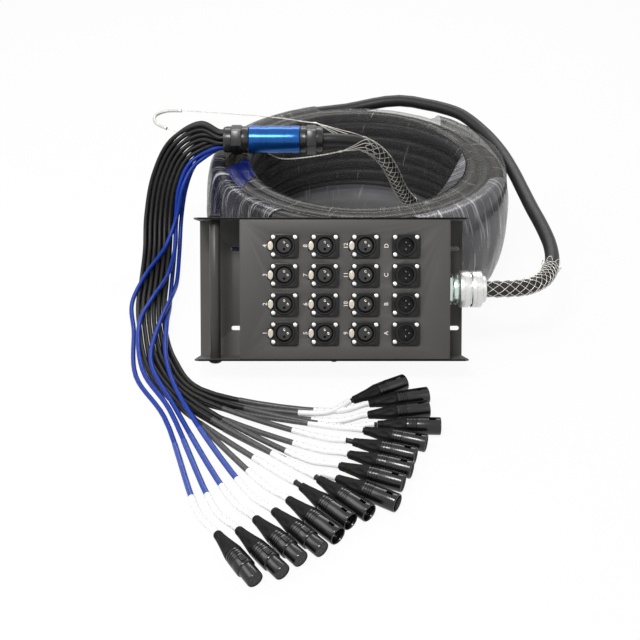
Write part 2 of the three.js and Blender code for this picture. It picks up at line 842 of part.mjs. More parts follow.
function laneOf(tail, station) {
  if (tail >= blackCount) {
    return [blueLanes[tail - blackCount][station], blueLayers[tail - blackCount][station]]
  }
  const lane = blueLaneCount + Math.floor(tail / 2)
  return [lane, tail % 2]
}

function tailPoints(tail) {
  const order = tail >= blackCount ? blueSeals[tail - blackCount] : tail + blueLanes.length
  const [sealY, sealZ] = sealPlaces[order]
  const root = new THREE.Vector3(breakoutEnd + sealThick / 2, breakoutY + sealY, breakoutZ + sealZ)
  const points = [root, root.clone().addScaledVector(alongX, -sealThick / 2 - 2 * tailRadius)]
  bundleRoute.forEach((spot, station) => {
    const [lane, layer] = laneOf(tail, station)
    const point = new THREE.Vector3(...spot)
    const across = new THREE.Vector3(...acrossRoute[station]).normalize()
    const over = new THREE.Vector3(...overRoute[station]).normalize()
    point.addScaledVector(across, (lane - (laneCount - 1) / 2) * lanePitch)
    point.addScaledVector(over, (layer - 1 / 2) * layerPitch)
    point.z = Math.max(point.z, tailRadius + seat + layer * layerPitch)
    points.push(point)
  })
  const [x, y, degrees] = tailEnds[tail]
  const heading = new THREE.Vector3(1, 0, 0)
    .applyAxisAngle(new THREE.Vector3(0, 0, 1), THREE.MathUtils.degToRad(degrees))
  const mouth = new THREE.Vector3(x, y, restHeight).addScaledVector(heading, -seat)
  const approach = mouth.clone().addScaledVector(heading, -approachRun)
  approach.z = tailRadius + seat + tailRadius
  points.push(approach, mouth.clone().addScaledVector(heading, -2 * tailRadius), mouth)
  return points
}

const tailCurves = tailEnds.map((end, tail) =>
  new THREE.CatmullRomCurve3(tailPoints(tail), false, 'centripetal'))

// Rings at the route's own points, and halfway between them round the top bend.
function tailSpots(curve) {
  const count = curve.points.length - 1
  const spots = []
  for (let i = 0; i <= count; i += 1) {
    spots.push(curve.getPoint(i / count))
    if (i > 1 && i < tailFineStations) spots.push(curve.getPoint((i + 1 / 2) / count))
  }
  return spots
}

const seal = turned([[0, 0], [0, sealRadius], [sealThick, sealRadius], [sealThick, 0]], bodySides, 'x')
seal.translate(...breakoutPlace)
place(assembly, 'tails',
  join([seal, ...tailCurves.map(curve => sweep(tailSpots(curve), tailRadius, tailSides))]),
  finish.cableJacket)

// Cable connectors, along X from the mouth of the boot.
function shellProfile() {
  const [grooveStart, grooveEnd] = shellGrooveShare.map(share => connectorLength * share)
  return [
    [0, 0], [0, bootTailRadius], [bootLength, bootMouthRadius], [bootLength, shellRadius - shellGroove],
    [grooveStart, shellRadius], [grooveEnd, shellRadius - shellGroove], [grooveEnd, shellRadius]
  ]
}

function pinAt(y, z, from, to, radius) {
  const pin = turned([[from, 0], [from, radius], [to, radius], [to, 0]], contactSides, 'x')
  pin.translate(0, y, z)
  return pin
}

function plug() {
  const floor = connectorLength - plugCupDepth
  const body = turned([
    ...shellProfile(), [connectorLength, shellRadius], [connectorLength, plugCupRadius],
    [floor, plugCupRadius], [floor, 0]
  ], shellSides, 'x')
  const pins = contactPlaces(false).map(([y, z]) =>
    pinAt(z, -y, floor - overrun, floor + pinLength, pinRadius))
  return join([body, ...pins])
}

function socket() {
  const noseStart = connectorLength - noseLength
  const body = turned([
    ...shellProfile(), [noseStart, shellRadius], [noseStart, noseRadius],
    [connectorLength, noseRadius], [connectorLength, 0]
  ], shellSides, 'x')
  const tools = contactPlaces(false).map(([y, z]) =>
    pinAt(z, -y, connectorLength - holeDepth, connectorLength + overrun, holeRadius))
  const pocketDepth = releaseSunk + releaseTravel + slideFit
  tools.push(releaseTool(shellRadius - pocketDepth, shellRadius + overrun, slideFit))
  return cut(body, tools)
}

function releaseTool(low, high, grow) {
  return block([releaseLength + 2 * grow, releaseWidth + 2 * grow, high - low],
    [releasePlace, 0, (low + high) / 2])
}

function releaseButton() {
  const shape = new THREE.Shape()
  const half = releaseLength / 2
  shape.moveTo(-half, -releaseSunk)
  shape.lineTo(half, -releaseSunk)
  shape.lineTo(half, releaseProud / 2)
  shape.lineTo(half * releaseTopShare, releaseProud)
  shape.lineTo(-half * releaseTopShare, releaseProud)
  shape.lineTo(-half, releaseProud / 2)
  shape.closePath()
  const button = prism(shape, releaseWidth)
  button.rotateX(Math.PI / 2)
  button.translate(releasePlace, releaseWidth / 2, shellRadius)
  return button
}

const plugGeometry = plug()
const socketGeometry = socket()
const buttonGeometry = releaseButton()
tailEnds.forEach(([x, y, degrees], tail) => {
  const holder = new THREE.Group()
  holder.position.set(x, y, restHeight)
  holder.rotation.z = THREE.MathUtils.degToRad(degrees)
  if (tail < blackCount) {
    const number = String(tail + 1).padStart(2, '0')
    place(holder, `plug_${number}`, plugGeometry.clone(), finish.blackMetal)
  } else {
    const letter = returnLetters[tail - blackCount]
    place(holder, `socket_${letter}`, socketGeometry.clone(), finish.blackMetal)
    place(holder, `release_${letter}`, buttonGeometry.clone(), finish.blackPlastic)
  }
  assembly.add(holder)
})

export default assembly
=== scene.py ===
# %% [markdown]
# # A stage box snake
# A stage box snake carries sixteen signals over one fat cable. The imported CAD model
# is loaded first and never moved. Everything made below is in metres, in that same
# frame, so a piece goes where the CAD says.

# %% Load the frame
import json
import math

import bpy
from mathutils import Matrix, Vector, noise

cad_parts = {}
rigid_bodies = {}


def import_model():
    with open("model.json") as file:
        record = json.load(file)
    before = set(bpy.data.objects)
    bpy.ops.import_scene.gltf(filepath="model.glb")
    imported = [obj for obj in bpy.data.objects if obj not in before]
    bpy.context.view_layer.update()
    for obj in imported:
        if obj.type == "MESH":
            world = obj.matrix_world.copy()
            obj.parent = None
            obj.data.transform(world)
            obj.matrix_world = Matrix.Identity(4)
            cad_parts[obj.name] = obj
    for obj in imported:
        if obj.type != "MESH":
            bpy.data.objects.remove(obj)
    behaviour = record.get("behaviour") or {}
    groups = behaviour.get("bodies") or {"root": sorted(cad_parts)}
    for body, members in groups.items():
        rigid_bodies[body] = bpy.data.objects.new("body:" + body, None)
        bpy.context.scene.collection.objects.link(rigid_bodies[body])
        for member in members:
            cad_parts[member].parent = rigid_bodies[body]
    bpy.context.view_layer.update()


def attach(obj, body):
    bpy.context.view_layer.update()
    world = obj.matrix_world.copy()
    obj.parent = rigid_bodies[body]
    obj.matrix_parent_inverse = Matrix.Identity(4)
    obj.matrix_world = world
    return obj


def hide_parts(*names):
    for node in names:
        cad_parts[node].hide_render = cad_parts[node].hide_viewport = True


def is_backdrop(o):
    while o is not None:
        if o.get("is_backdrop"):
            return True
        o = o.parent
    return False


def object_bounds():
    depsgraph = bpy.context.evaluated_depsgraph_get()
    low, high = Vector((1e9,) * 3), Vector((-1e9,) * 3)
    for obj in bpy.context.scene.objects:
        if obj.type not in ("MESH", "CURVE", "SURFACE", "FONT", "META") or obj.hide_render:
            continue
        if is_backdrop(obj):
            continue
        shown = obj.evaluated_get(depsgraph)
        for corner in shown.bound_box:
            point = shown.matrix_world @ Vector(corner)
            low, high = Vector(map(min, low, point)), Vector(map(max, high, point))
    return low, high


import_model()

# %% [markdown]
# The camera comes before any piece, so that every test render can be laid beside the
# photograph. It looks down at 34 degrees, which was worked out from the two side
# plates of the box and from how flat the coil's rim looks.

# %% Camera
bpy.ops.object.camera_add(location=(-0.013, -0.929, 0.668), rotation=(math.radians(56), 0, 0))
camera = bpy.context.object
camera.name = "camera"
camera.data.sensor_width = 36
camera.data.lens = 54.56
camera.data.clip_start = 0.01
bpy.context.scene.camera = camera
bpy.context.scene.view_settings.view_transform = "Standard"
print("camera lens, mm:", round(camera.data.lens, 2))

# %% [markdown]
# Black gear on white shows its shapes by the light that runs along them. A small key
# lamp stands in front, high and a little left, and makes one long highlight on every
# round piece. A large soft one at the left and a weak one at the right fill the sides,
# and a strip behind draws the light edge on the cables. The floor takes soft shadows.
# Camera, glossy and transmission rays see it white, as in a light tent.

# %% Lamps


def add_lamp(name, place, aim, size, watts):
    bpy.ops.object.light_add(type="AREA", location=place)
    lamp = bpy.context.object
    lamp.name = name
    lamp.data.shape = "RECTANGLE"
    lamp.data.size, lamp.data.size_y = size
    lamp.data.energy = watts
    lamp.rotation_euler = (Vector(aim) - Vector(place)).to_track_quat("-Z", "Y").to_euler()
    return lamp


add_lamp("lamp_key", (-0.35, -0.75, 1.6), (0, 0.1, 0), (0.5, 0.35), 20)
add_lamp("lamp_left", (-1.2, -0.2, 1.3), (0, 0.1, 0), (1.0, 1.0), 10)
add_lamp("lamp_right", (1.3, -0.9, 1.2), (0, 0.1, 0), (0.9, 0.9), 2.5)
add_lamp("lamp_back", (0.1, 1.5, 1.4), (0, 0.2, 0.1), (1.6, 0.5), 15)
print("lamps:", len(bpy.data.lights))


# %% [markdown]
# Materials and the world are graphs of nodes. Two kinds come again and again: one that
# does arithmetic on its inputs, and one that maps a range of values to another. Each
# gets a helper. A third helper tells the rays that see the studio from the rays that
# light it.

# %% Node helpers


def math_node(tree, operation, *terms, clamp=False):
    """A Math node. Each term is a number or another node's output."""
    node = tree.nodes.new("ShaderNodeMath")
    node.operation = operation
    node.use_clamp = clamp
    for socket, term in zip(node.inputs, terms):
        if isinstance(term, (int, float)):
            socket.default_value = term
        else:
            tree.links.new(term, socket)
    return node.outputs[0]


def range_node(tree, value, low, high, start=0.0, end=1.0):
    """A Map Range node, from start and end of the value to low and high."""
    node = tree.nodes.new("ShaderNodeMapRange")
    for label, number in (("From Min", start), ("From Max", end), ("To Min", low), ("To Max", high)):
        node.inputs[label].default_value = number
    tree.links.new(value, node.inputs["Value"])
    return node.outputs["Result"]


def seen_rays(tree):
    """One where a camera, glossy or transmission ray looks, and nought for lighting."""
    path = tree.nodes.new("ShaderNodeLightPath").outputs
    total = math_node(tree, "ADD", path["Is Camera Ray"], path["Is Glossy Ray"])
    return math_node(tree, "ADD", total, path["Is Transmission Ray"], clamp=True)


# %% [markdown]
# The world lights the object at a low level, and is white where a camera, glossy or
# transmission ray looks. The floor glows white for those rays in the same way, all but
# a small share, which stays a grey surface and keeps the object's shadow.

# %% World and floor
STUDIO_WHITE = (1, 1, 1, 1)
FLOOR_GREY = (0.86, 0.86, 0.86, 1)
LIGHTING_LEVEL, SEEN_LEVEL = 0.15, 1.0
FLOOR_GLOW = 0.94

studio = bpy.data.worlds.new("studio")
bpy.context.scene.world = studio
studio.use_nodes = True
sky = studio.node_tree.nodes["Background"]
sky.inputs["Color"].default_value = STUDIO_WHITE
level = range_node(studio.node_tree, seen_rays(studio.node_tree), LIGHTING_LEVEL, SEEN_LEVEL)
studio.node_tree.links.new(level, sky.inputs["Strength"])

bpy.ops.mesh.primitive_plane_add(size=14, location=(0, 0, -0.0002))
floor = bpy.context.object
floor.name = "floor"
floor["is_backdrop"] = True
pale = bpy.data.materials.new("pale_floor")
pale.use_nodes = True
nodes, links = pale.node_tree.nodes, pale.node_tree.links
shadowed = nodes["Principled BSDF"]
shadowed.inputs["Base Color"].default_value = FLOOR_GREY
shadowed.inputs["Roughness"].default_value = 0.9
shadowed.inputs["Specular IOR Level"].default_value = 0
glow = nodes.new("ShaderNodeEmission")
glow.inputs["Color"].default_value = STUDIO_WHITE
lit = nodes.new("ShaderNodeMixShader")
glow_share = math_node(pale.node_tree, "MULTIPLY", seen_rays(pale.node_tree), FLOOR_GLOW)
links.new(glow_share, lit.inputs["Fac"])
links.new(shadowed.outputs[0], lit.inputs[1])
links.new(glow.outputs[0], lit.inputs[2])
links.new(lit.outputs[0], nodes["Material Output"].inputs["Surface"])
floor.data.materials.append(pale)
print("world and floor:", studio.name, floor.name)

# %% [markdown]
# ## The cables
# A cable has one length, and lies where its weight and stiffness put it. Their routes
# are the same points as in the CAD source, in millimetres, joined by the same smooth
# curve: a centripetal Catmull-Rom, which doesn't overshoot where points come close.

# %% Smooth routes
MM = 0.001


def segment_point(p0, p1, p2, p3, share):
    gaps = [(b - a).length ** 0.5 for a, b in ((p0, p1), (p1, p2), (p2, p3))]
    if gaps[1] < 1e-4:
        gaps[1] = 1.0
    gaps = [gap if gap > 1e-4 else gaps[1] for gap in gaps]
    d0, d1, d2 = gaps
    leave = ((p1 - p0) / d0 - (p2 - p0) / (d0 + d1) + (p2 - p1) / d1) * d1
    arrive = ((p2 - p1) / d1 - (p3 - p1) / (d1 + d2) + (p3 - p2) / d2) * d1
    square, cube = share**2, share**3
    return (
        p1 * (2 * cube - 3 * square + 1)
        + leave * (cube - 2 * square + share)
        + p2 * (3 * square - 2 * cube)
        + arrive * (cube - square)
    )


def smooth_route(points, steps):
    """Points on the smooth curve through the given ones, some steps to each stretch."""
    route = [Vector(p) for p in points]
    ends = [2 * route[0] - route[1], *route, 2 * route[-1] - route[-2]]
    found = []
    for i in range(len(route) - 1):
        for step in range(steps):
            found.append(segment_point(*ends[i : i + 4], step / steps))
    return [*found, route[-1]]


def length_of(points):
    return sum((b - a).length for a, b in zip(points, points[1:]))


def stretch_of(points, start, end):
    """The part of a route between two distances along it, ends included."""
    found, gone = [], 0.0
    for a, b in zip(points, points[1:]):
        step = (b - a).length
        if step > 0 and gone + step > start and gone < end:
            for mark in (max(start - gone, 0), min(end - gone, step)):
                spot = a.lerp(b, mark / step)
                if not found or (spot - found[-1]).length > 1e-7:
                    found.append(spot)
        gone += step
    return found


# %% [markdown]
# The trunk is one cable of about 21 metres. It leaves the box's gland, drops on to the
# coil from behind, goes round nearly twenty times in three layers, and climbs out of
# the middle to the breakout. The winding comes from the same formula as in the CAD.

# %% Trunk route
TRUNK_RADIUS = 8.4
COIL_CENTRE = (38, 250)
COIL_INNER = 140
COIL_PITCH = 17.6
COIL_TURNS = 19.722
LAYERS = 3
SHIFT = 0.1
CLIMB_TURNS, CLIMB_STEPS = 0.1, 6
COIL_BASE = TRUNK_RADIUS + 0.4
CLIMB_HEIGHT = 17.1
LAYER_TURNS = (COIL_TURNS - SHIFT * (LAYERS - 1)) / LAYERS
COIL_TOP = COIL_BASE + LAYER_TURNS * COIL_PITCH
OUTER_LAYER = COIL_INNER + TRUNK_RADIUS + (LAYERS - 1) * COIL_PITCH
STEPS_A_TURN = 36

GAP = 0.3
STRAIGHT = 2 * TRUNK_RADIUS
LEAD_EXIT = (174.1, 0, 83.68)
LEAD_ROUTE = [
    (222, 4, 84), (244, 20, 85), (258, 48, 88), (263, 84, 91), (260, 124, 96), (254, 165, 101),
    (249, 205, 106), (243, 250, 112), (233, 298, 119), (215, 342, 128), (187, 381, 138),
]
RISER_EXIT = (-9, 258, 152.6)
RISER_ROUTE = [
    (34, 263, 148), (56, 274, 134), (74, 288, 112), (88, 303, 84), (99, 317, 56), (112, 328, 32),
    (129, 332, 16), (149, 325, 9.6), (165, 307, 8.8), (180.5, 284, 8.8),
]

print("turns in a layer:", round(LAYER_TURNS, 2))

# %% [markdown]
# Each turn climbs or drops by one pitch, and at the end of a layer the cable shifts
# outwards over a tenth of a turn. From the last layer it eases up by about its own
# thickness and outwards by half of it, to meet the lead. Lead and riser join the winding
# along its own direction there.

# %% Winding, lead and riser


def coil_point(angle, radius, height):
    """A point at an angle and a radius round the coil's middle."""
    return Vector((
        COIL_CENTRE[0] + radius * math.cos(angle),
        COIL_CENTRE[1] + radius * math.sin(angle),
        height,
    ))


def ring_point(turns, radius, height):
    """A point of the coil after some turns, which go clockwise, seen from above."""
    return coil_point(-turns * math.tau, radius, height)


def winding_at(turns):
    span = LAYER_TURNS + SHIFT
    layer = min(int(turns / span), LAYERS - 1)
    in_layer = turns - layer * span
    climb = min(in_layer / LAYER_TURNS, 1) * (COIL_TOP - COIL_BASE)
    shift = max((in_layer - LAYER_TURNS) / SHIFT, 0)
    radius = COIL_INNER + TRUNK_RADIUS + (layer + shift) * COIL_PITCH
    return ring_point(turns, radius, COIL_BASE + climb if layer % 2 == 0 else COIL_TOP - climb)


def climb_at(share):
    ease = (1 - math.cos(share * math.pi)) / 2
    radius = OUTER_LAYER + ease * TRUNK_RADIUS
    return ring_point(COIL_TURNS + share * CLIMB_TURNS, radius, COIL_TOP + ease * CLIMB_HEIGHT)


def run_from(point, heading, distance):
    """Two points that lead a route straight out of a joint, after a small gap."""
    start = point + heading.normalized() * GAP
    return [start, start + heading.normalized() * distance]


RUN_TURN = TRUNK_RADIUS / (math.pi * (COIL_INNER + TRUNK_RADIUS))
count = round(COIL_TURNS * STEPS_A_TURN)
winding = [ring_point(-RUN_TURN, COIL_INNER + TRUNK_RADIUS, COIL_BASE)]
winding += [winding_at(i / count * COIL_TURNS) for i in range(count + 1)]
winding += [climb_at(i / CLIMB_STEPS) for i in range(1, CLIMB_STEPS + 1)]
winding.append(ring_point(
    COIL_TURNS + CLIMB_TURNS + RUN_TURN, OUTER_LAYER + TRUNK_RADIUS, COIL_TOP + CLIMB_HEIGHT))

along_x = Vector((1, 0, 0))
lead = smooth_route(
    [*run_from(Vector(LEAD_EXIT), along_x, STRAIGHT), *LEAD_ROUTE,
     *reversed(run_from(winding[-1], winding[-1] - winding[-2], STRAIGHT))], 6)
riser = smooth_route(
    [*run_from(Vector(RISER_EXIT), along_x, STRAIGHT), *RISER_ROUTE,
     *reversed(run_from(winding[0], winding[0] - winding[1], TRUNK_RADIUS))], 6)
trunk_route = [p * MM for p in [*lead, *reversed(winding), *reversed(riser)]]
print("trunk cable, metres:", round(length_of(trunk_route), 2))

# %% [markdown]
# A cable could be a mesh tube, but a curve with a round bevel keeps its centreline, so
# the length can be measured and the roundness set at the end. The bevel's depth is one,
# and every point carries the cable's radius, because Blender adds the points' radii to
# a curve's bounds whatever the bevel's depth is.

# %% Cable curves


def round_curve(name, paths, roundness, bevel=1.0, radius=1.0):
    """A round curve object with one spline for each path, in metres."""
    curve = bpy.data.curves.new(name, "CURVE")
    curve.dimensions = "3D"
    curve.bevel_depth = bevel
    curve.bevel_resolution = roundness
    curve.use_fill_caps = True
    for path in paths:
        spline = curve.splines.new("POLY")
        spline.points.add(len(path) - 1)
        for spot, point in zip(spline.points, path):
            spot.co = (*point, 1)
            spot.radius = radius
        spline.use_smooth = True
    piece = bpy.data.objects.new(name, curve)
    bpy.context.scene.collection.objects.link(piece)
    return piece


def lay_cable(name, points, diameter, roundness):
    return round_curve(name, [points], roundness, radius=diameter / 2)


trunk = lay_cable("trunk_cable", trunk_route, 2 * TRUNK_RADIUS * MM, 4)
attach(trunk, "snake")
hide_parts("trunk_lead", "trunk_coil", "trunk_riser")

# %% [markdown]
# Sixteen tails fan out of the breakout's seal. They hang over the coil's edge as one
# bundle, lie side by side on the floor, and spread to their connectors. Each tail keeps
# a lane of the bundle and a layer in it, and the four blue ones cross over the others.
# A smooth curve can dip between its points, so no point may lie lower than the cable's
# own radius, and the tails rest on the floor.

# %% Tail routes
TAIL_RADIUS = 2.75
LANE_PITCH = 2 * TAIL_RADIUS + 0.9
LAYER_PITCH = 2 * TAIL_RADIUS + 1.2
BREAKOUT = Vector((-139, 258, 152.6))
SEAL_THICK = 5
REST_HEIGHT = 9.7
APPROACH = 34
BUNDLE_ROUTE = [
    (-168, 258, 151), (-194, 251, 136), (-212, 238, 102), (-221, 220, 60), (-222, 188, 26),
    (-221, 140, 9), (-217, 84, 6.4), (-208, 30, 6.4), (-187, -40, 6.4), (-150, -96, 6.4),
]
ACROSS = [
    (0, 0.2, 1), (-0.6, 0.3, 0.75), (-0.9, 0.3, 0.3), (-1, 0, 0), (-1, 0, 0),
    (-1, 0, 0), (-1, 0, 0), (-1, 0.15, 0), (-0.9, -0.45, 0), (-0.65, -0.75, 0),
]
OVER = [
    (0, -1, 0), (-0.2, -0.9, 0.2), (-0.3, -0.8, 0.3), (-0.2, -0.8, 0.5), (0, -0.5, 0.85),
    (0, -0.2, 1), (0, 0, 1), (0, 0, 1), (0, 0, 1), (0, 0, 1),
]
BLUE_SEALS = [2, 0, 3, 1]
BLUE_LANES = [
    [1, 1, 1, 1, 1, 1, 1, 1.6, 3.6, 6.6],
    [0, 0, 0, 0, 0, 0, 0.6, 3, 6.4, 8.1],
    [1, 1, 1, 0.8, 0.6, 1.6, 4.2, 6.8, 8.1, 9.2],
    [0, 0, 0, 0.2, 2.6, 6, 8.2, 8.2, 9.4, 10.4],
]
BLUE_LAYERS = [
    [0, 0, 0, 0, 0, 0, 0, 2, 2, 2],
    [0, 0, 0, 0, 0, 0, 2, 2, 2, 1],
    [1, 1, 1, 1, 2, 2, 2, 2, 1, 1],
    [1, 1, 1.6, 2, 2, 2, 1, 0, 0, 0],
]
TAIL_ENDS = [
    (23, -108, 29), (40, -114, 13), (38, -133, 9), (47, -149, -2), (33, -158, -18),
    (21, -176, -19), (16, -195, -20), (7, -212, -22), (4, -230, -31), (-14, -231, -44),
    (-31, -241, -45), (-43, -259, -45), (-56, -274, -47), (-73, -284, -49), (-88, -298, -50),
    (-107, -303, -55),
]
BLACK_TAILS = 12

print("tails to lay:", len(TAIL_ENDS))

# %% [markdown]
# In the seal the tails stand in rings: one in the middle, five round it and ten round
# those. The places are sorted by height and taken in pairs, and the lowest four are for
# the blue tails. From there every tail goes by its lane and layer to its own end.

# %% Places in the seal, and routes


def seal_place(order):
    if order == 0:
        return (0.0, 0.0)
    turn = (order - 1) / 5 if order <= 5 else (order - 6) / 10
    radius = (2 * TAIL_RADIUS + 0.1) * (1 if order <= 5 else 2)
    return (math.cos(turn * math.tau) * radius, math.sin(turn * math.tau) * radius)


seal_places = [seal_place(order) for order in range(len(TAIL_ENDS))]
seal_places.sort(key=lambda spot: spot[1])
for i in range(0, len(seal_places), 2):
    if seal_places[i][0] < seal_places[i + 1][0]:
        seal_places[i], seal_places[i + 1] = seal_places[i + 1], seal_places[i]


def tail_route(tail):
    blue = tail - BLACK_TAILS
    across, up = seal_places[BLUE_SEALS[blue] if blue >= 0 else tail + 4]
    root = BREAKOUT + Vector((SEAL_THICK / 2, across, up))
    points = [root, root - along_x * (SEAL_THICK / 2 + 2 * TAIL_RADIUS)]
    for station, spot in enumerate(BUNDLE_ROUTE):
        if blue < 0:
            lane, layer = 2 + tail // 2, tail % 2
        else:
            lane, layer = BLUE_LANES[blue][station], BLUE_LAYERS[blue][station]
        point = Vector(spot) + Vector(ACROSS[station]).normalized() * (lane - 3.5) * LANE_PITCH
        point += Vector(OVER[station]).normalized() * (layer - 0.5) * LAYER_PITCH
        point.z = max(point.z, TAIL_RADIUS + GAP + layer * LAYER_PITCH)
        points.append(point)
    x, y, degrees = TAIL_ENDS[tail]
    heading = Vector((math.cos(math.radians(degrees)), math.sin(math.radians(degrees)), 0))
    mouth = Vector((x, y, REST_HEIGHT)) - heading * GAP
    approach = mouth - heading * APPROACH
    approach.z = 2 * TAIL_RADIUS + GAP
    points += [approach, mouth - heading * 2 * TAIL_RADIUS, mouth]
    return [Vector((p.x, p.y, max(p.z, TAIL_RADIUS))) * MM for p in smooth_route(points, 7)]


tail_routes = [tail_route(tail) for tail in range(len(TAIL_ENDS))]
tails = []
for tail, route in enumerate(tail_routes):
    cable = lay_cable(f"tail_{tail + 1:02d}", route, 2 * TAIL_RADIUS * MM, 3)
    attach(cable, "snake")
    tails.append(cable)

# %% [markdown]
# ## Finishes
# No real surface has one flat colour. Each finish starts from a Principled shader, and
# two noises on Object coordinates work on it: a wide one varies the colour and the
# gloss, and a fine one lifts the surface. Object coordinates are metres here, so a
# scale of 1000 gives a grain of about a millimetre. The shine is kept low, because in a
# light tent even black rubber mirrors a little of the white all round it. The cut edges
# of the box's sheet get a deeper black than the paint, as painted shade along them, and
# the dome screws the same black as their own colour.

# %% A finish with wear in it


def finish(name, colour, roughness, metallic=0.0, vary=0.15, wide=60, grain=900, lift=0.1, shine=0.25):
    material = bpy.data.materials.new(name)
    material.use_nodes = True
    nodes, links = material.node_tree.nodes, material.node_tree.links
    shader = nodes["Principled BSDF"]
    shader.inputs["Metallic"].default_value = metallic
    shader.inputs["Specular IOR Level"].default_value = shine
    place = nodes.new("ShaderNodeTexCoord")
    patches = nodes.new("ShaderNodeTexNoise")
    patches.inputs["Scale"].default_value = wide
    patches.inputs["Detail"].default_value = 4
    links.new(place.outputs["Object"], patches.inputs["Vector"])
    shade = nodes.new("ShaderNodeMix")
    shade.data_type = "RGBA"
    shade.inputs["A"].default_value = (*(c * (1 - vary) for c in colour), 1)
    shade.inputs["B"].default_value = (*(min(c * (1 + vary), 1) for c in colour), 1)
    links.new(patches.outputs["Fac"], shade.inputs["Factor"])
    links.new(shade.outputs["Result"], shader.inputs["Base Color"])
    gloss = range_node(material.node_tree, patches.outputs["Fac"], roughness * 0.8, roughness * 1.25)
    links.new(gloss, shader.inputs["Roughness"])
    specks = nodes.new("ShaderNodeTexNoise")
    specks.inputs["Scale"].default_value = grain
    links.new(place.outputs["Object"], specks.inputs["Vector"])
    bump = nodes.new("ShaderNodeBump")
    bump.inputs["Strength"].default_value = lift
    bump.inputs["Distance"].default_value = 0.0003
    links.new(specks.outputs["Fac"], bump.inputs["Height"])
    links.new(bump.outputs["Normal"], shader.inputs["Normal"])
    return material


# %% [markdown]
# The box's paint is a pale black with a fine grain. The boots are a matt rubber that is
# nearly black, and the glands and wires are bright metal. A sleeved finish is the same
# cable seen through a clear sleeve, so it is paler and more uneven.

# %% The object's finishes
box_paint = finish("box_paint", (0.078, 0.0755, 0.072), 0.48, vary=0.1, wide=25, grain=1800, lift=0.25)
bar_paint = finish("bar_paint", (0.05, 0.048, 0.046), 0.34, vary=0.1, wide=30, grain=1500, lift=0.12)
# Painted shade: the sheet's front edges take this black. The dome and case screws take it as their own
# colour.
edge_shade_and_screw_black = finish("edge_shade_and_screw_black", (0.004, 0.004, 0.004), 0.3, wide=80, lift=0.1, shine=0.1)
jack_paint = finish("jack_paint", (0.013, 0.013, 0.0135), 0.34, lift=0.15)
return_paint = finish("return_paint", (0.009, 0.009, 0.0095), 0.36, lift=0.15)
ring_black = finish("ring_black", (0.006, 0.006, 0.006), 0.3, lift=0.05)
insert_grey = finish("insert_grey", (0.034, 0.033, 0.033), 0.5, lift=0.2)
contact_metal = finish("contact_metal", (0.5, 0.47, 0.42), 0.3, metallic=1, lift=0.05)
tab_ivory = finish("tab_ivory", (0.66, 0.6, 0.51), 0.3, metallic=0.35, wide=300, vary=0.12, lift=0.1)
screw_metal = finish("screw_metal", (0.8, 0.79, 0.77), 0.3, metallic=0.9, wide=300, lift=0.05)
mark_white = finish("mark_white", (0.8, 0.8, 0.78), 0.6, vary=0.05)
gland_silver = finish("gland_silver", (0.68, 0.68, 0.67), 0.32, metallic=0.9, wide=400,
                      grain=1200, lift=0.2)
gland_chrome = finish("gland_chrome", (0.62, 0.72, 0.66), 0.22, metallic=0.9, wide=200, lift=0.08)
wire_steel = finish("wire_steel", (0.66, 0.63, 0.58), 0.32, metallic=0.7, wide=500, vary=0.2, lift=0.1)
bail_vinyl = finish("bail_vinyl", (0.62, 0.6, 0.58), 0.35, metallic=0.2, wide=200, lift=0.05)
gland_black = finish("gland_black", (0.014, 0.0135, 0.013), 0.26, wide=120, lift=0.12, shine=0.5)
blue_metal = finish("blue_metal", (0.007, 0.085, 0.33), 0.2, metallic=0.65, wide=300, vary=0.1,
                    lift=0.06, shine=0.6)
trunk_jacket = finish("trunk_jacket", (0.02, 0.0195, 0.019), 0.42, wide=90, lift=0.3)
tail_black = finish("tail_black", (0.01, 0.0095, 0.009), 0.42, wide=150, lift=0.2)
tail_blue = finish("tail_blue", (0.006, 0.036, 0.3), 0.36, wide=150, lift=0.2)
sleeved_black = finish("sleeved_black", (0.085, 0.085, 0.087), 0.26, wide=250, vary=0.35, lift=0.1)
sleeved_blue = finish("sleeved_blue", (0.045, 0.085, 0.36), 0.26, wide=250, vary=0.25, lift=0.1)
boot_rubber = finish("boot_rubber", (0.008, 0.0077, 0.0074), 0.5, wide=200, lift=0.3, shine=0.12)
shell_black = finish("shell_black", (0.006, 0.0055, 0.0055), 0.2, wide=100, lift=0.06, shine=0.5)
face_dark = finish("face_dark", (0.035, 0.034, 0.036), 0.5, lift=0.2)
print("finishes:", len(bpy.data.materials))

# %% [markdown]
# The cables take their jackets now. The real trunk is a fine matt rubber, and the tails
# are thinner vinyl ones with a little more shine.

# %% Jackets
trunk.data.materials.append(trunk_jacket)
for tail, cable in enumerate(tails):
    cable.data.materials.append(tail_black if tail < BLACK_TAILS else tail_blue)
print("jackets:", 1 + len(tails))

# %% [markdown]
# ## Working in edit mode
# Most pieces of this object are turned on a lathe, so one helper does what a hand
# would: it adds a disc, then extrudes it ring by ring to the next height and radius.
# Sizes are given in millimetres and the finished mesh is put into metres.

# %% Edit helpers


def only(piece):
    for other in bpy.context.view_layer.objects:
        other.select_set(False)
    bpy.context.view_layer.objects.active = piece
    piece.select_set(True)


def edit(piece):
    only(piece)
    bpy.ops.object.mode_set(mode="EDIT")
    bpy.ops.mesh.select_all(action="DESELECT")


def leave():
    bpy.ops.object.mode_set(mode="OBJECT")


def settle(piece):
    """Puts an object's place, turn and scale into its mesh."""
    only(piece)
    bpy.ops.object.transform_apply(location=True, rotation=True, scale=True)
    return piece


def named(name, material):
    piece = bpy.context.object
    piece.name = name
    piece.data.name = name
    piece.data.materials.append(material)
    return settle(piece)


# %% [markdown]
# Two shapes come most often: a body turned on a lathe and a plain block. Modifiers then
# round their edges or cut holes into them, and are applied at once. The last helper
# puts a copy of a finished piece at its place on the object.

# %% Shapes, modifiers and copies


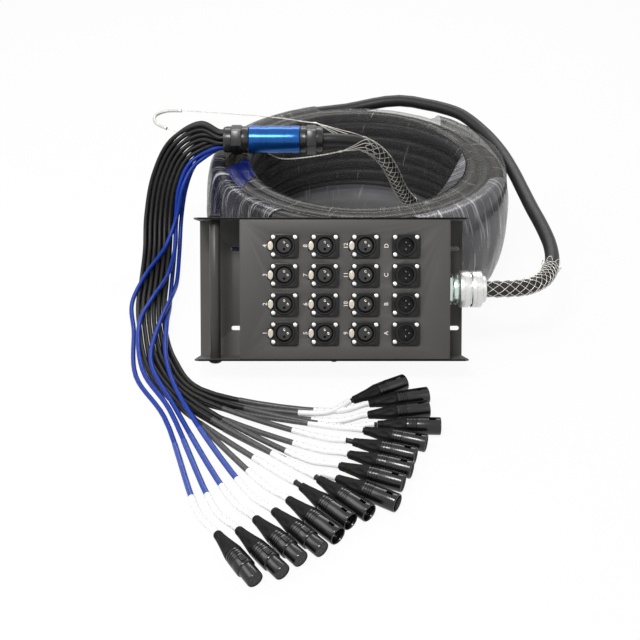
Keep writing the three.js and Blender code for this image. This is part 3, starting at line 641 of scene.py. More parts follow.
def turned(name, material, sides, profile):
    """A closed body turned round Z through (height, radius) steps, in millimetres."""
    height, radius = profile[0]
    bpy.ops.mesh.primitive_circle_add(vertices=sides, radius=radius, fill_type="NGON",
                                      location=(0, 0, height))
    piece = named(name, material)
    edit(piece)
    bpy.ops.mesh.select_all(action="SELECT")
    for (low, before), (high, after) in zip(profile, profile[1:]):
        bpy.ops.mesh.extrude_region_move(TRANSFORM_OT_translate={"value": (0, 0, high - low)})
        grow = after / before
        bpy.ops.transform.resize(value=(grow, grow, 1), center_override=(0, 0, high))
    bpy.ops.mesh.select_all(action="SELECT")
    bpy.ops.mesh.normals_make_consistent(inside=False)
    leave()
    return piece


def block(name, material, low, high):
    middle = [(a + b) / 2 for a, b in zip(low, high)]
    bpy.ops.mesh.primitive_cube_add(size=1, location=middle)
    bpy.context.object.scale = [b - a for a, b in zip(low, high)]
    return named(name, material)


def use(piece, kind, **values):
    """Adds a modifier, sets it and applies it."""
    only(piece)
    modifier = piece.modifiers.new(kind, kind)
    for key, value in values.items():
        setattr(modifier, key, value)
    bpy.ops.object.modifier_apply(modifier=modifier.name)
    return piece


def soften(piece, width, segments=2, angle=35):
    return use(piece, "BEVEL", width=width, segments=segments, limit_method="ANGLE",
               angle_limit=math.radians(angle), harden_normals=False)


def cut_out(piece, cutter):
    use(piece, "BOOLEAN", operation="DIFFERENCE", object=cutter, solver="EXACT")
    bpy.data.objects.remove(cutter)
    return piece


def joined(name, pieces):
    only(pieces[0])
    for piece in pieces:
        piece.select_set(True)
    bpy.ops.object.join()
    whole = bpy.context.object
    whole.name = name
    whole.data.name = name
    return whole


def smooth_faces(piece, angle=40):
    only(piece)
    bpy.ops.object.shade_smooth_by_angle(angle=math.radians(angle))
    return piece


def put(source, name, matrix, body, node=None):
    """A copy of a piece made in millimetres, with its own mesh, at its place in metres."""
    piece = bpy.data.objects.new(name, source.data.copy())
    bpy.context.scene.collection.objects.link(piece)
    piece.data.transform(matrix)
    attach(piece, body)
    if node:
        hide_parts(node)
    return piece


# %% [markdown]
# The box leans back 31 degrees on the coil. Its pieces are made upright in the box's
# own millimetres, with X along it, Y from the panel inwards and Z up the panel, and
# one matrix leans them and puts them in metres.

# %% The box's own frame
LEAN = math.radians(31)
BOX_PLACE = Vector((0, -67.2602, 31.9324))
BOX = Matrix.Scale(MM, 4) @ Matrix.Translation(BOX_PLACE) @ Matrix.Rotation(-LEAN, 4, "X")
WORLD = Matrix.Scale(MM, 4)
BOX_LENGTH, BOX_HEIGHT, BOX_DEPTH, SHEET = 304, 158, 62, 2
COVER_LEFT, COVER_RIGHT = -101.5, 130.5
BAR_X, BAR_DEPTH = -130, 16


# %% [markdown]
# The rear plate and the two long side plates are one folded sheet. A block loses its
# open faces and gets its wall from Solidify, so the wall is even, as in a bent sheet.
# The side plates' front corners are cut, and four slots in the rear plate take screws.
# The sheet's cut front edges get their own black finish, which paints the shade along them.

# %% Back tray
CORNER_CUT = 7
SLOT_RISE, SLOT_RADIUS, SLOT_HALF_RUN, SLOT_INSET = 46, 2.5, 3, 9


def delete_faces(piece, chosen):
    edit(piece)
    bpy.ops.mesh.select_mode(type="FACE")
    leave()
    for face in piece.data.polygons:
        face.select = chosen(face)
    bpy.ops.object.mode_set(mode="EDIT")
    bpy.ops.mesh.delete(type="FACE")
    leave()


def open_box(name, low, high, opened, thick):
    """A block without the faces whose normals are given, and with a wall inwards."""
    piece = block(name, box_paint, low, high)
    delete_faces(piece, lambda face: any((face.normal - Vector(way)).length < 0.1 for way in opened))
    return use(piece, "SOLIDIFY", thickness=thick, offset=-1)


tray = open_box("back_tray_sheet", (-BOX_LENGTH / 2, 0, 0), (BOX_LENGTH / 2, BOX_DEPTH, BOX_HEIGHT),
                [(0, -1, 0), (1, 0, 0), (-1, 0, 0)], SHEET)
for side in (-1, 1):
    bpy.ops.mesh.primitive_cube_add(size=1, location=(side * BOX_LENGTH / 2, 0, BOX_HEIGHT / 2),
                                    rotation=(0, 0, math.radians(45)))
    bpy.context.object.scale = (CORNER_CUT, CORNER_CUT, BOX_HEIGHT + 4)
    cut_out(tray, named("corner_cutter", box_paint))
    for rise in (-SLOT_RISE, SLOT_RISE):
        bpy.ops.mesh.primitive_cylinder_add(vertices=24, radius=SLOT_RADIUS, depth=8,
                                            rotation=(math.pi / 2, 0, 0))
        slot_cutter = named("slot_cutter", box_paint)
        for spot in slot_cutter.data.vertices:
            spot.co.x += math.copysign(SLOT_HALF_RUN, spot.co.x)
        slot_x = (COVER_LEFT if side < 0 else BOX_LENGTH / 2) - SLOT_INSET
        slot_cutter.location = (slot_x, BOX_DEPTH, BOX_HEIGHT / 2 + rise)
        cut_out(tray, settle(slot_cutter))
soften(tray, 0.35)
tray.data.materials.append(edge_shade_and_screw_black)
# Painted shade: the faces at the front edge take the black finish, for the shade along them.
for face in tray.data.polygons:
    face.material_index = int(face.center.y < 1)
smooth_faces(tray, 30)
put(tray, "back_tray_folded", BOX, "snake", "back_tray")
print("tray faces:", len(tray.data.polygons))

# %% [markdown]
# The front cover carries the connectors. It is a second sheet, bent to a U that closes
# on the tray, with a rounder bend along its two upright edges. Each connector has its
# round hole, and each push tab a notch beside it.

# %% Front cover
COLUMNS, ROWS = 4, 4
RETURNS_COLUMN = 3
COLUMN_PITCH, ROW_PITCH = 44.5, 32
COVER_MIDDLE = (COVER_LEFT + COVER_RIGHT) / 2
COVER_DEPTH, COVER_HEIGHT = 59.4, BOX_HEIGHT - 4.6
HOLE_RADIUS = 12.1
NOTCH_NEAR, NOTCH_FAR, NOTCH_HALF = 11.75, 18.25, 5.35


def jack_places():
    """Column, row and place on the panel, with the channels counted up each column."""
    for column in range(COLUMNS):
        for row in range(ROWS):
            x = COVER_MIDDLE + (column - (COLUMNS - 1) / 2) * COLUMN_PITCH
            yield column, row, x, BOX_HEIGHT / 2 + (row - (ROWS - 1) / 2) * ROW_PITCH


bpy.ops.mesh.primitive_cube_add(size=1, location=(COVER_MIDDLE, 30, BOX_HEIGHT / 2))
bpy.context.object.scale = (COVER_RIGHT - COVER_LEFT, COVER_DEPTH, COVER_HEIGHT)
cover = named("front_cover_sheet", box_paint)
delete_faces(cover, lambda face: face.normal.y > 0.9 or abs(face.normal.z) > 0.9)
edit(cover)
bpy.ops.mesh.select_mode(type="EDGE")
leave()
for edge in cover.data.edges:
    a, b = (cover.data.vertices[i].co for i in edge.vertices)
    edge.select = abs(a.z - b.z) > 10 and a.y < 5 and b.y < 5
bpy.ops.object.mode_set(mode="EDIT")
bpy.ops.mesh.bevel(offset=1.6, segments=4, affect="EDGES")
leave()
use(cover, "SOLIDIFY", thickness=SHEET, offset=-1)
for column, row, x, z in jack_places():
    bpy.ops.mesh.primitive_cylinder_add(vertices=32, radius=HOLE_RADIUS, depth=12, location=(x, 0, z),
                                        rotation=(math.pi / 2, 0, 0))
    cut_out(cover, named("hole_cutter", box_paint))
    if column < RETURNS_COLUMN:
        cut_out(cover, block("notch_cutter", box_paint, (x - NOTCH_FAR, -6, z - NOTCH_HALF),
                             (x - NOTCH_NEAR, 6, z + NOTCH_HALF)))
soften(cover, 0.3)
smooth_faces(cover, 30)
put(cover, "front_cover_folded", BOX, "snake", "front_cover")
print("cover faces:", len(cover.data.polygons))

# %% [markdown]
# The handle is a round bar between the side plates, held from outside by a dome screw
# at each end. Two small screws of the same kind hold the cover to the side plates.

# %% Handle bar and case screws
bar = turned("bar", bar_paint, 40, [(2, 5.6), (2.4, 6), (BOX_HEIGHT - 2.4, 6), (BOX_HEIGHT - 2, 5.6)])
dome_steps = [(0, 7.5), (0.6, 7.5), (1.8, 7.0), (2.9, 5.9), (3.7, 4.2), (4.2, 2.0), (4.3, 1.0)]
dome = turned("dome", edge_shade_and_screw_black, 40, dome_steps)
under = turned("under_dome", edge_shade_and_screw_black, 40, dome_steps)
dome.location.z = BOX_HEIGHT
settle(dome)
under.rotation_euler.x = math.pi
settle(under)
handle = joined("handle_round_bar", [bar, dome, under])
smooth_faces(handle, 50)
print("handle faces:", len(handle.data.polygons))
put(handle, "handle_round_bar_placed", BOX @ Matrix.Translation((BAR_X, BAR_DEPTH, 0)),
    "snake", "handle_bar")

SCREW_X, SCREW_DEPTH = 2.5, 12
case_screw = turned("case_screw", edge_shade_and_screw_black, 24, [
    (0, 4), (0.4, 4), (1.2, 3.4), (1.8, 2.2), (2.0, 0.8)])
smooth_faces(case_screw, 50)
screw_top = BOX @ Matrix.Translation((SCREW_X, SCREW_DEPTH, BOX_HEIGHT))
screw_bottom = BOX @ Matrix.Translation((SCREW_X, SCREW_DEPTH, 0)) @ Matrix.Rotation(math.pi, 4, "X")
put(case_screw, "case_screw_top", screw_top, "snake")
put(case_screw, "case_screw_bottom", screw_bottom, "snake")

# %% [markdown]
# ## Panel connectors
# A panel connector is a die-cast flange of 26 by 31 mm with a raised round collar. The
# female ones have a ring-shaped slot round a grey insert with three contact holes, and
# a push tab that frees the plug. They are made once, facing up along Z, and copied.

# %% Flange, collar and screws
FACE = 4.2
FLANGE_LONG, FLANGE_WIDE, FLANGE_THICK = 31, 26, 2.4
FLANGE_SCREWS = ((-12, 9.5), (12, 9.5), (-12, -9.5))
CONTACT_CIRCLE = 3.8
FEMALE_DEEP, MALE_DEEP = FACE - 11, FACE - 12


def flange(material, notched):
    bpy.ops.mesh.primitive_plane_add(size=1)
    bpy.context.object.scale = (FLANGE_LONG, FLANGE_WIDE, 1)
    plate = named("flange", material)
    edit(plate)
    bpy.ops.mesh.select_all(action="SELECT")
    bpy.ops.mesh.bevel(offset=3.4, segments=6, affect="VERTICES")
    bpy.ops.mesh.select_all(action="SELECT")
    bpy.ops.mesh.extrude_region_move(TRANSFORM_OT_translate={"value": (0, 0, FLANGE_THICK)})
    bpy.ops.mesh.select_all(action="SELECT")
    bpy.ops.mesh.normals_make_consistent(inside=False)
    leave()
    plate.location.z = 0.3
    settle(plate)
    cut_out(plate, turned("collar_cutter", material, 48, [(-3, 10.9), (6, 10.9)]))
    if notched:
        bpy.ops.mesh.primitive_cube_add(size=1, location=(-15, 0, 0))
        bpy.context.object.scale = (6.5, 10.7, 8)
        cut_out(plate, named("notch_cutter", material))
    return soften(plate, 0.35)


def screw_head(x, y):
    head = turned("screw_head", screw_metal, 20, [(2.6, 2.3), (3.1, 2.35), (3.6, 1.9), (3.85, 1.2)])
    for turn in (0, math.pi / 2):
        bpy.ops.mesh.primitive_cube_add(size=1, location=(0, 0, 3.9), rotation=(0, 0, turn + 0.4))
        bpy.context.object.scale = (2.6, 0.5, 0.9)
        cut_out(head, named("cross_cutter", screw_metal))
    head.location = (x, y, 0)
    return settle(head)


def contact_spots():
    turns = (math.pi / 2, 0, -math.pi / 2)
    return [(math.cos(turn) * CONTACT_CIRCLE, math.sin(turn) * CONTACT_CIRCLE) for turn in turns]


def collar(material, inner, floor):
    """The round body: up outside, over the collar and down its bore to the floor."""
    return turned("collar", material, 48, [
        (-20, 11.6), (-0.1, 11.6), (-0.1, 10.85), (2.7, 10.85), (2.72, 11.9), (3.7, 11.5),
        (FACE, 11.1), (FACE, inner + 0.45), (FACE - 0.4, inner), (floor, inner),
        (floor - 0.01, inner - 0.2)])


# %% [markdown]
# The female connector's slot is 11 mm deep and lined in black. Its grey insert stands in
# the middle with three holes, and a bright ring marks the contact in two of them. A
# notch at the left lets the push tab in.

# %% Female connector
female_parts = [flange(jack_paint, True), collar(jack_paint, 9.6, FEMALE_DEEP)]
lining = turned("slot_lining", ring_black, 48, [
    (FACE - 10.9, 9.55), (FACE - 10.8, 9.5), (FACE - 10.7, 8)])
insert = turned("insert", insert_grey, 40, [(FACE - 10.9, 7.7), (3.0, 7.7), (3.4, 7.3), (3.42, 7.0)])
for number, (x, y) in enumerate(contact_spots()):
    bpy.ops.mesh.primitive_cylinder_add(vertices=20, radius=1.5, depth=10, location=(x, y, 3.4))
    cut_out(insert, named("contact_cutter", insert_grey))
    if number < 2:
        bpy.ops.mesh.primitive_torus_add(major_radius=0.95, minor_radius=0.42, major_segments=20,
                                         minor_segments=8, location=(x, y, 3.1))
        female_parts.append(named("contact", contact_metal))
female_parts += [lining, insert]
female_parts += [screw_head(x, y) for x, y in FLANGE_SCREWS]
cut_out(female_parts[1], block("tab_cutter", jack_paint, (-NOTCH_FAR, -NOTCH_HALF, -4),
                               (-NOTCH_NEAR, NOTCH_HALF, 6)))
female_jack = smooth_faces(joined("female_jack", female_parts), 35)
print("female jack faces:", len(female_jack.data.polygons))

# %% [markdown]
# The return connectors are male: a black cup with three bright pins, and a closed slot
# at the left where a plug's own latch goes in.

# %% Male connector
male_parts = [flange(return_paint, False), collar(return_paint, 9.0, MALE_DEEP)]
male_parts.append(turned("cup_floor", ring_black, 40, [(FACE - 11.95, 8.95), (FACE - 11.8, 8.95)]))
for x, y in contact_spots():
    pin = turned("pin", contact_metal, 16, [
        (MALE_DEEP, 1.2), (FACE - 4.2, 1.2), (FACE - 3.4, 0.9), (FACE - 3.0, 0.45)])
    pin.location = (x, y, 0)
    male_parts.append(settle(pin))
male_parts += [screw_head(x, y) for x, y in FLANGE_SCREWS]
bpy.ops.mesh.primitive_cylinder_add(vertices=24, radius=1, depth=3, location=(-13.4, 0, 2.9))
bpy.context.object.scale = (1.15, 3.6, 1)
cut_out(male_parts[0], named("latch_slot_cutter", ring_black))
male_jack = smooth_faces(joined("male_jack", male_parts), 35)
print("male jack faces:", len(male_jack.data.polygons))

# %% [markdown]
# The push tab is an oval with soft edges and three fine grip lines. It rides on its own
# body, so it goes in when its joint moves.

# %% Push tab
bpy.ops.mesh.primitive_circle_add(vertices=40, radius=1, fill_type="NGON")
bpy.context.object.scale = (2.9, 5.0, 1)
tab = named("push_tab", tab_ivory)
edit(tab)
bpy.ops.mesh.select_all(action="SELECT")
bpy.ops.mesh.extrude_region_move(TRANSFORM_OT_translate={"value": (0, 0, 5.4)})
bpy.ops.mesh.inset(thickness=0.35, depth=0.35)
bpy.ops.mesh.inset(thickness=0.5, depth=0.22)
bpy.ops.mesh.select_all(action="SELECT")
bpy.ops.mesh.normals_make_consistent(inside=False)
leave()
tab.location = (-15, 0, FACE - 0.5 - 4.97)
settle(tab)
for y in (-1.6, 0, 1.6):
    cut_out(tab, block("grip_cutter", tab_ivory, (-16.6, y - 0.22, FACE + 0.28),
                       (-13.4, y + 0.22, FACE + 2)))
smooth_faces(tab, 40)
print("push tab faces:", len(tab.data.polygons))

# %% [markdown]
# Each place on the panel gets a matrix that turns a connector to face outwards. The
# first three columns hold the twelve female ones with their tabs, and the last column
# holds the four male ones.

# %% Connectors on the panel
OUTWARD = Matrix.Rotation(math.pi / 2, 4, "X")
for column, row, x, z in jack_places():
    place = BOX @ Matrix.Translation((x, 0, z)) @ OUTWARD
    if column < RETURNS_COLUMN:
        number = f"{column * ROWS + row + 1:02d}"
        put(female_jack, f"jack_{number}_female", place, "snake", f"jack_{number}")
        put(tab, f"latch_{number}_tab", place, f"latch_{number}_body", f"latch_{number}")
    else:
        letter = "abcd"[row]
        put(male_jack, f"return_{letter}_male", place, "snake", f"return_{letter}")

# %% [markdown]
# Channel numbers and return letters are printed in white, turned a quarter so that they
# read upwards. They are text made into a mesh a tenth of a millimetre thick.

# %% Channel marks
MARK_LEFT, MARK_SIZE, MARK_BOLD, MARK_HALF_THICK = 21.2, 6.4, 0.09, 0.05
UPWARDS = Matrix.Rotation(math.pi / 2, 3, "X") @ Matrix.Rotation(math.pi / 2, 3, "Z")
marks = []
for column, row, x, z in jack_places():
    bpy.ops.object.text_add(location=(x - MARK_LEFT, -0.02, z))
    text = bpy.context.object
    text.data.body = str(column * ROWS + row + 1) if column < RETURNS_COLUMN else "ABCD"[row]
    text.data.align_x, text.data.align_y = "CENTER", "CENTER"
    text.data.size = MARK_SIZE
    text.data.offset = MARK_BOLD
    text.data.extrude = MARK_HALF_THICK
    text.rotation_euler = UPWARDS.to_euler()
    only(text)
    bpy.ops.object.convert(target="MESH")
    marks.append(named("mark", mark_white))
print("channel marks:", len(marks))
channel_marks = joined("channel_marks_flat", marks)
put(channel_marks, "channel_marks", BOX, "snake")
for source in (tray, cover, handle, case_screw, female_jack, male_jack, tab, channel_marks):
    bpy.data.objects.remove(source)

# %% [markdown]
# ## Glands and breakout
# The trunk leaves the box through a bright metal gland: a locknut, a plated ring, a
# clamp nut in two halves with screw pits in its seam, and a collar that holds a
# woven wire grip. Lathe steps give each ring its own edge, which catches the light.

# %% Box gland
ALONG = Matrix.Rotation(math.pi / 2, 4, "Y")
BOX_GLAND = (130.8, 31, 79)
SEAM_SCREWS, SEAM_RADIUS, SEAM_HEIGHT = 6, 20.2, 25
gland_parts = [
    turned("locknut", gland_chrome, 8, [(0, 17.2), (0.6, 18.2), (4.2, 18.2), (4.8, 17.2)]),
    turned("plated_ring", gland_chrome, 64, [
        (4.8, 16.4), (5.6, 17.4), (6.2, 17.7), (10.6, 17.7), (11.2, 17.2), (12, 16.8)]),
]
for low in (12, 25.7):
    half = turned("clamp_half", gland_silver, 64, [
        (low, 19.6), (low + 0.9, 20.6), (low + 1.4, 20.8), (low + 5.2, 20.8), (low + 5.4, 20.5),
        (low + 5.9, 20.5), (low + 6.1, 20.8), (low + 11.0, 20.8), (low + 11.6, 20.6),
        (low + 12.3, 19.9)])
    gland_parts.append(half)
gland_parts.append(turned("seam", gland_chrome, 64, [(24.2, 18.9), (25.8, 18.9)]))
gland_parts.append(turned("grip_collar", gland_silver, 48, [
    (38, 14.6), (38.5, 15.2), (39, 15.4), (41.6, 15.4), (42.4, 14.9), (43, 13.8), (43, 10.4)]))
for turn in range(SEAM_SCREWS):
    angle = math.radians(20 + 360 / SEAM_SCREWS * turn)
    screw = turned("seam_screw", screw_metal, 16, [(-1.5, 1.3), (0.1, 1.3), (0.35, 1.0)])
    outwards = Matrix.Translation((SEAM_RADIUS, 0, SEAM_HEIGHT)) @ ALONG
    screw.matrix_world = Matrix.Rotation(angle, 4, "Z") @ outwards
    gland_parts.append(settle(screw))
box_gland = smooth_faces(joined("box_gland_turned", gland_parts), 35)
put(box_gland, "box_gland_metal", BOX @ Matrix.Translation(BOX_GLAND) @ ALONG,
    "snake", "box_gland")

# %% [markdown]
# The breakout is a blue anodised sleeve between two black glands. Each gland has a hex
# nut and a domed end, and each is turned to its own profile, the fan's one with ribs on
# its dome. A rubber seal closes the fan's end, and the tails come through it.

# %% Breakout
TRUNK_GLAND, BLUE_SLEEVE = (-39, 258, 152.6), (-106, 258, 152.6)
NUT_RADIUS, RIBS = 19.4, 12


def hex_nut(low, high):
    return soften(turned("hex_nut", gland_black, 6, [
        (low, NUT_RADIUS * 0.93), (low + 1.2, NUT_RADIUS), (high - 1.2, NUT_RADIUS),
        (high, NUT_RADIUS * 0.93)]), 0.5, 2, 30)


def place_on_breakout(source, name, place, node):
    put(source, name, WORLD @ Matrix.Translation(place) @ ALONG, "snake", node)


fan_parts = [
    turned("fan_body", gland_black, 64, [
        (5.3, 14.6), (0.7, 14.6), (0.1, 15.0), (0.2, 15.8), (1.4, 16.5), (3.2, 16.9), (9.4, 17.0),
        (9.4, 16.2), (24.2, 16.2), (24.4, 17.0), (25.0, 17.5), (31.9, 17.5), (32.6, 17.1), (33, 16.6)]),
    hex_nut(9.6, 24.2),
]
for turn in range(RIBS):
    rib = block("dome_rib", gland_black, (16.6, -0.7, 3.6), (17.3, 0.7, 9.2))
    rib.rotation_euler.z = turn * math.tau / RIBS
    fan_parts.append(settle(rib))
fan_gland = smooth_faces(joined("fan_gland_turned", fan_parts), 35)
place_on_breakout(fan_gland, "fan_gland_moulded", BREAKOUT, "fan_gland")

trunk_parts = [
    turned("trunk_gland_body", gland_black, 64, [
        (0, 16.6), (0.4, 17.1), (1.1, 17.5), (7.2, 17.5), (7.8, 17.0), (8, 16.2), (21.4, 16.2),
        (21.6, 17.0), (26.4, 16.9), (28.6, 16.3), (29.7, 15.2), (30, 13.8), (29.6, 9.6)]),
    hex_nut(8.1, 21.4),
]
trunk_gland = smooth_faces(joined("trunk_gland_turned", trunk_parts), 35)
place_on_breakout(trunk_gland, "trunk_gland_moulded", TRUNK_GLAND, "trunk_gland")

sleeve_steps = [(0.3, 17.2), (0.9, 17.9), (1.4, 18.0)]
for start in (15.5, 46.5):
    sleeve_steps += [(start, 18.0), (start + 0.2, 17.1), (start + 1.3, 17.1), (start + 1.5, 17.8),
                     (start + 7.7, 17.8), (start + 7.9, 17.1), (start + 9.0, 17.1), (start + 9.2, 18.0)]
sleeve_steps += [(65.6, 18.0), (66.1, 17.9), (66.7, 17.2)]
blue_sleeve = smooth_faces(turned("sleeve_turned", blue_metal, 96, sleeve_steps), 35)
place_on_breakout(blue_sleeve, "breakout_sleeve_blue", BLUE_SLEEVE, "breakout_sleeve")
seal = turned("seal_turned", boot_rubber, 64, [(4.9, 14.3), (1.0, 14.3), (0.5, 13.9), (0.3, 12.5)])
smooth_faces(seal, 50)
place_on_breakout(seal, "tail_seal", BREAKOUT, "tails")
for source in (box_gland, fan_gland, trunk_gland, blue_sleeve, seal):
    print(source.name, "faces:", len(source.data.polygons))
    bpy.data.objects.remove(source)

# %% [markdown]
# ## Wire grips
# A wire grip is a woven sleeve that tightens when it is pulled. Two families of wires
# wind round the cable, one each way, and go over and under where they meet. The wires
# need a frame that doesn't twist as it goes along the cable, so each frame is the last
# one turned by as little as possible.

# %% Frames along a cable


def frames_along(points):
    """Each point with two directions square to the cable and to each other."""
    found, side = [], None
    for i, point in enumerate(points):
        heading = (points[min(i + 1, len(points) - 1)] - points[max(i - 1, 0)]).normalized()
        if side is None:
            side = heading.cross(Vector((0, 0, 1))).normalized()
        side = (side - heading * side.dot(heading)).normalized()
        found.append((point, side, heading.cross(side)))
    return found


def evenly(points, spacing):
    """Points at even spacing along a route, the first and last kept."""
    total = length_of(points)
    steps = max(round(total / spacing), 2)
    marks, gone, found = [total * i / steps for i in range(steps + 1)], 0.0, []
    for a, b in zip(points, points[1:]):
        step = (b - a).length
        while marks and marks[0] <= gone + step + 1e-9 and step > 0:
            found.append(a.lerp(b, min((marks.pop(0) - gone) / step, 1)))
        gone += step
    if marks:
        found.append(points[-1])
    return found


def wires(name, paths, radius, material, roundness=1):
    """Round wires along the given routes, as one mesh in metres."""
    in_metres = [[point * MM for point in path] for path in paths]
    only(round_curve(name, in_metres, roundness, bevel=radius * MM))
    bpy.ops.object.convert(target="MESH")
    piece = bpy.context.object
    piece.data.materials.clear()
    piece.data.materials.append(material)
    return piece


WIRE_RADIUS, WIRE_SPACING = 0.36, 1.6
STRANDS = 6


def weave(route, radius, first_pitch, last_pitch):
    """The wires of a woven sleeve: strands each way, with a pitch that changes along it."""
    spots = frames_along(evenly(route, WIRE_SPACING))
    paths = []
    for way in (1, -1):
        for strand in range(STRANDS):
            turn, path = strand / STRANDS * math.tau, []
            for i, (point, side, up) in enumerate(spots):
                share = i / (len(spots) - 1)
                pitch = first_pitch + (last_pitch - first_pitch) * share
                reach = radius + 0.35 * way * math.cos(STRANDS * turn)
                path.append(point + (side * math.cos(turn) + up * math.sin(turn)) * reach)
                turn += way * math.tau * WIRE_SPACING / pitch
            paths.append(path)
    return paths


# %% [markdown]
# The grip at the box starts loose and ends tight, with a few loops that stand off the
# cable where the wires turn back.

# %% Grip at the box gland
grip_route = stretch_of(lead, 0, 101)
lead_wires = weave(grip_route, 9.25, 84, 26)
end_point, end_side, end_up = frames_along(evenly(grip_route, WIRE_SPACING))[-1]
end_heading = (grip_route[-1] - grip_route[-2]).normalized()
for strand in range(STRANDS):
    angle = strand / STRANDS * math.tau + 0.3
    out = end_side * math.cos(angle) + end_up * math.sin(angle)
    across = end_heading.cross(out)
    loop = []
    for step in range(11):
        bend = math.pi * step / 10
        loop.append(end_point + out * (9.3 + 2.2 * math.sin(bend)) - across * 3.4 * math.cos(bend)
                    + end_heading * (7.5 * math.sin(bend) - 2))
    lead_wires.append(loop)
lead_grip = wires("box_grip_wires", lead_wires, WIRE_RADIUS, wire_steel)
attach(lead_grip, "snake")
print("box grip faces:", len(lead_grip.data.polygons))

# %% [markdown]
# The pulling grip is woven round the riser. At its top the wires gather into two
# knots, and from there a twisted pair runs along each side of the breakout to the bail,
# where a sleeve protects the wire that hangs on the hoist hook.

# %% Pulling grip
LEG_ROUTE = [
    (8, 282, 160), (-36, 292, 164), (-71, 305, 164), (-140, 320, 164), (-205, 332, 163),
    (-226, 334, 161), (-238, 326, 158), (-236, 312, 154), (-219, 301, 150), (-175, 285, 144),
    (-140, 281, 140), (-110, 277, 135.5), (-84, 265, 130.5), (-64, 247, 131), (-35, 236, 137),
    (-7, 237, 141),
]
LEG_SPACING, TWIST_PITCH = 1.5, 9
riser_length = length_of(riser)


def riser_spot(share):
    """A point of the riser and its heading, at a share of its length."""
    run = stretch_of(riser, share * riser_length, share * riser_length + 1)
    return run[0], (run[-1] - run[0]).normalized()


def level_side(heading):
    return Vector((-heading.y, heading.x, 0)).normalized()


def mesh_wall(share, side):
    spot, heading = riser_spot(share)
    return spot + level_side(heading) * side * 10.2


legs = smooth_route([mesh_wall(0.26, 1), mesh_wall(0.19, 1), *LEG_ROUTE,
                     mesh_wall(0.19, -1), mesh_wall(0.26, -1)], 8)
leg_length = length_of(legs)
leg_run = evenly(stretch_of(legs, 0.13 * leg_length, 0.905 * leg_length), LEG_SPACING)
pair = [[], []]
for i, (point, side, up) in enumerate(frames_along(leg_run)):
    turn = i * LEG_SPACING / TWIST_PITCH * math.tau
    for strand, sign in zip(pair, (1, -1)):
        strand.append(point + (side * math.cos(turn) + up * math.sin(turn)) * 0.5 * sign)
pull_wires = weave(stretch_of(riser, 0.17 * riser_length, 0.7 * riser_length), 9.5, 84, 50)
pull_mesh = wires("pulling_mesh", pull_wires + pair, WIRE_RADIUS, wire_steel)
spot, heading = riser_spot(0.24)
level = level_side(heading)
over = heading.cross(level)
ahead = riser_spot(0.16)[0]
gathered = []
for knot, side in ((leg_run[0], 1), (leg_run[-1], -1)):
    for lift in (-0.9, -0.3, 0.4, 1.0):
        start = spot + (level * side * math.cos(lift) + over * math.sin(lift)) * 9.8
        middle = ahead + (level * side * math.cos(lift * 0.8) + over * math.sin(lift * 0.8)) * 11.5
        gathered.append(smooth_route([start, middle, knot.lerp(middle, 0.45), knot], 6))
gather_wires = wires("pulling_strands", gathered, WIRE_RADIUS, wire_steel)
crimps = [evenly(knot_route, 1) for knot_route in (leg_run[:4], leg_run[-4:])]
crimp_wires = wires("pulling_crimps", crimps, 1.35, wire_steel, 2)
bail_run = evenly(stretch_of(legs, 0.415 * leg_length, 0.525 * leg_length), LEG_SPACING)
bail = wires("bail_sleeve", [bail_run], 2.2, bail_vinyl, 3)
ferrules = wires("bail_ferrules", [bail_run[:3], bail_run[-3:]], 2.45, wire_steel, 3)
pulling_grip = joined("pulling_grip_woven", [pull_mesh, gather_wires, crimp_wires, bail, ferrules])
smooth_faces(pulling_grip, 60)
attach(pulling_grip, "snake")
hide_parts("pulling_grip")
print("pulling grip faces:", len(pulling_grip.data.polygons))

# %% [markdown]
# ## Cable connectors
# Twelve tails end in male connectors and the four blue ones in female ones. Each is a
# rubber boot with pressed-in flats, three shiny rings of the chuck, and a metal shell.
# The flats are cut with stretched balls, which leave the soft scallops of the real boot.

# %% Boot and rings
SCOOPS = 4
PIN_SPOTS = ((0, -CONTACT_CIRCLE), (CONTACT_CIRCLE, 0), (0, CONTACT_CIRCLE))


def boot_parts():
    boot = turned("boot", boot_rubber, 40, [
        (0, 3.9), (0.3, 4.3), (5.5, 4.9), (6.0, 4.7), (6.6, 5.0), (12, 5.8), (17, 6.7), (22.5, 7.8),
        (27, 8.6), (29.5, 8.9), (30.2, 8.7)])
    for turn in range(SCOOPS):
        bpy.ops.mesh.primitive_uv_sphere_add(segments=24, ring_count=12, radius=1)
        scoop = bpy.context.object
        scoop.scale = (1.7, 4.4, 9.5)
        scoop.location = (8.0, 0, 18.5)
        scoop.rotation_euler = (0, math.radians(7), 0)
        scoop = named("scoop", boot_rubber)
        scoop.rotation_euler.z = math.radians(45 + 90 * turn)
        cut_out(boot, settle(scoop))
    rings = turned("rings", shell_black, 48, [
        (30, 7.8), (30.4, 8.8), (32.2, 9.0), (32.5, 8.4), (33.6, 8.4), (33.9, 9.1), (35.4, 9.15),
        (35.7, 8.6), (36.2, 8.6), (36.5, 9.2), (37.7, 9.2), (38.0, 8.7), (38.5, 8.7), (38.8, 9.25),
        (40.0, 9.25), (40.3, 8.8), (40.8, 8.8)])
    return [boot, rings]


male_shell = turned("male_shell", shell_black, 56, [
    (40.6, 8.8), (41.0, 9.3), (41.5, 9.4), (64.6, 9.4), (65.6, 9.2), (66, 8.8), (66, 8.2),
    (65.6, 7.9), (52, 7.9), (52.01, 6.0)])
cut_out(male_shell, block("window", shell_black, (-10, -1.5, 53.5), (-7, 1.5, 60.5)))
plug_parts = [*boot_parts(), male_shell]
for x, y in PIN_SPOTS:
    pin = turned("pin", contact_metal, 16, [(51.9, 1.2), (59.4, 1.2), (60.3, 0.95), (60.8, 0.5)])
    pin.location = (x, y, 0)
    plug_parts.append(settle(pin))
male_plug = smooth_faces(joined("male_plug", plug_parts), 38)
print("male plug faces:", len(male_plug.data.polygons))

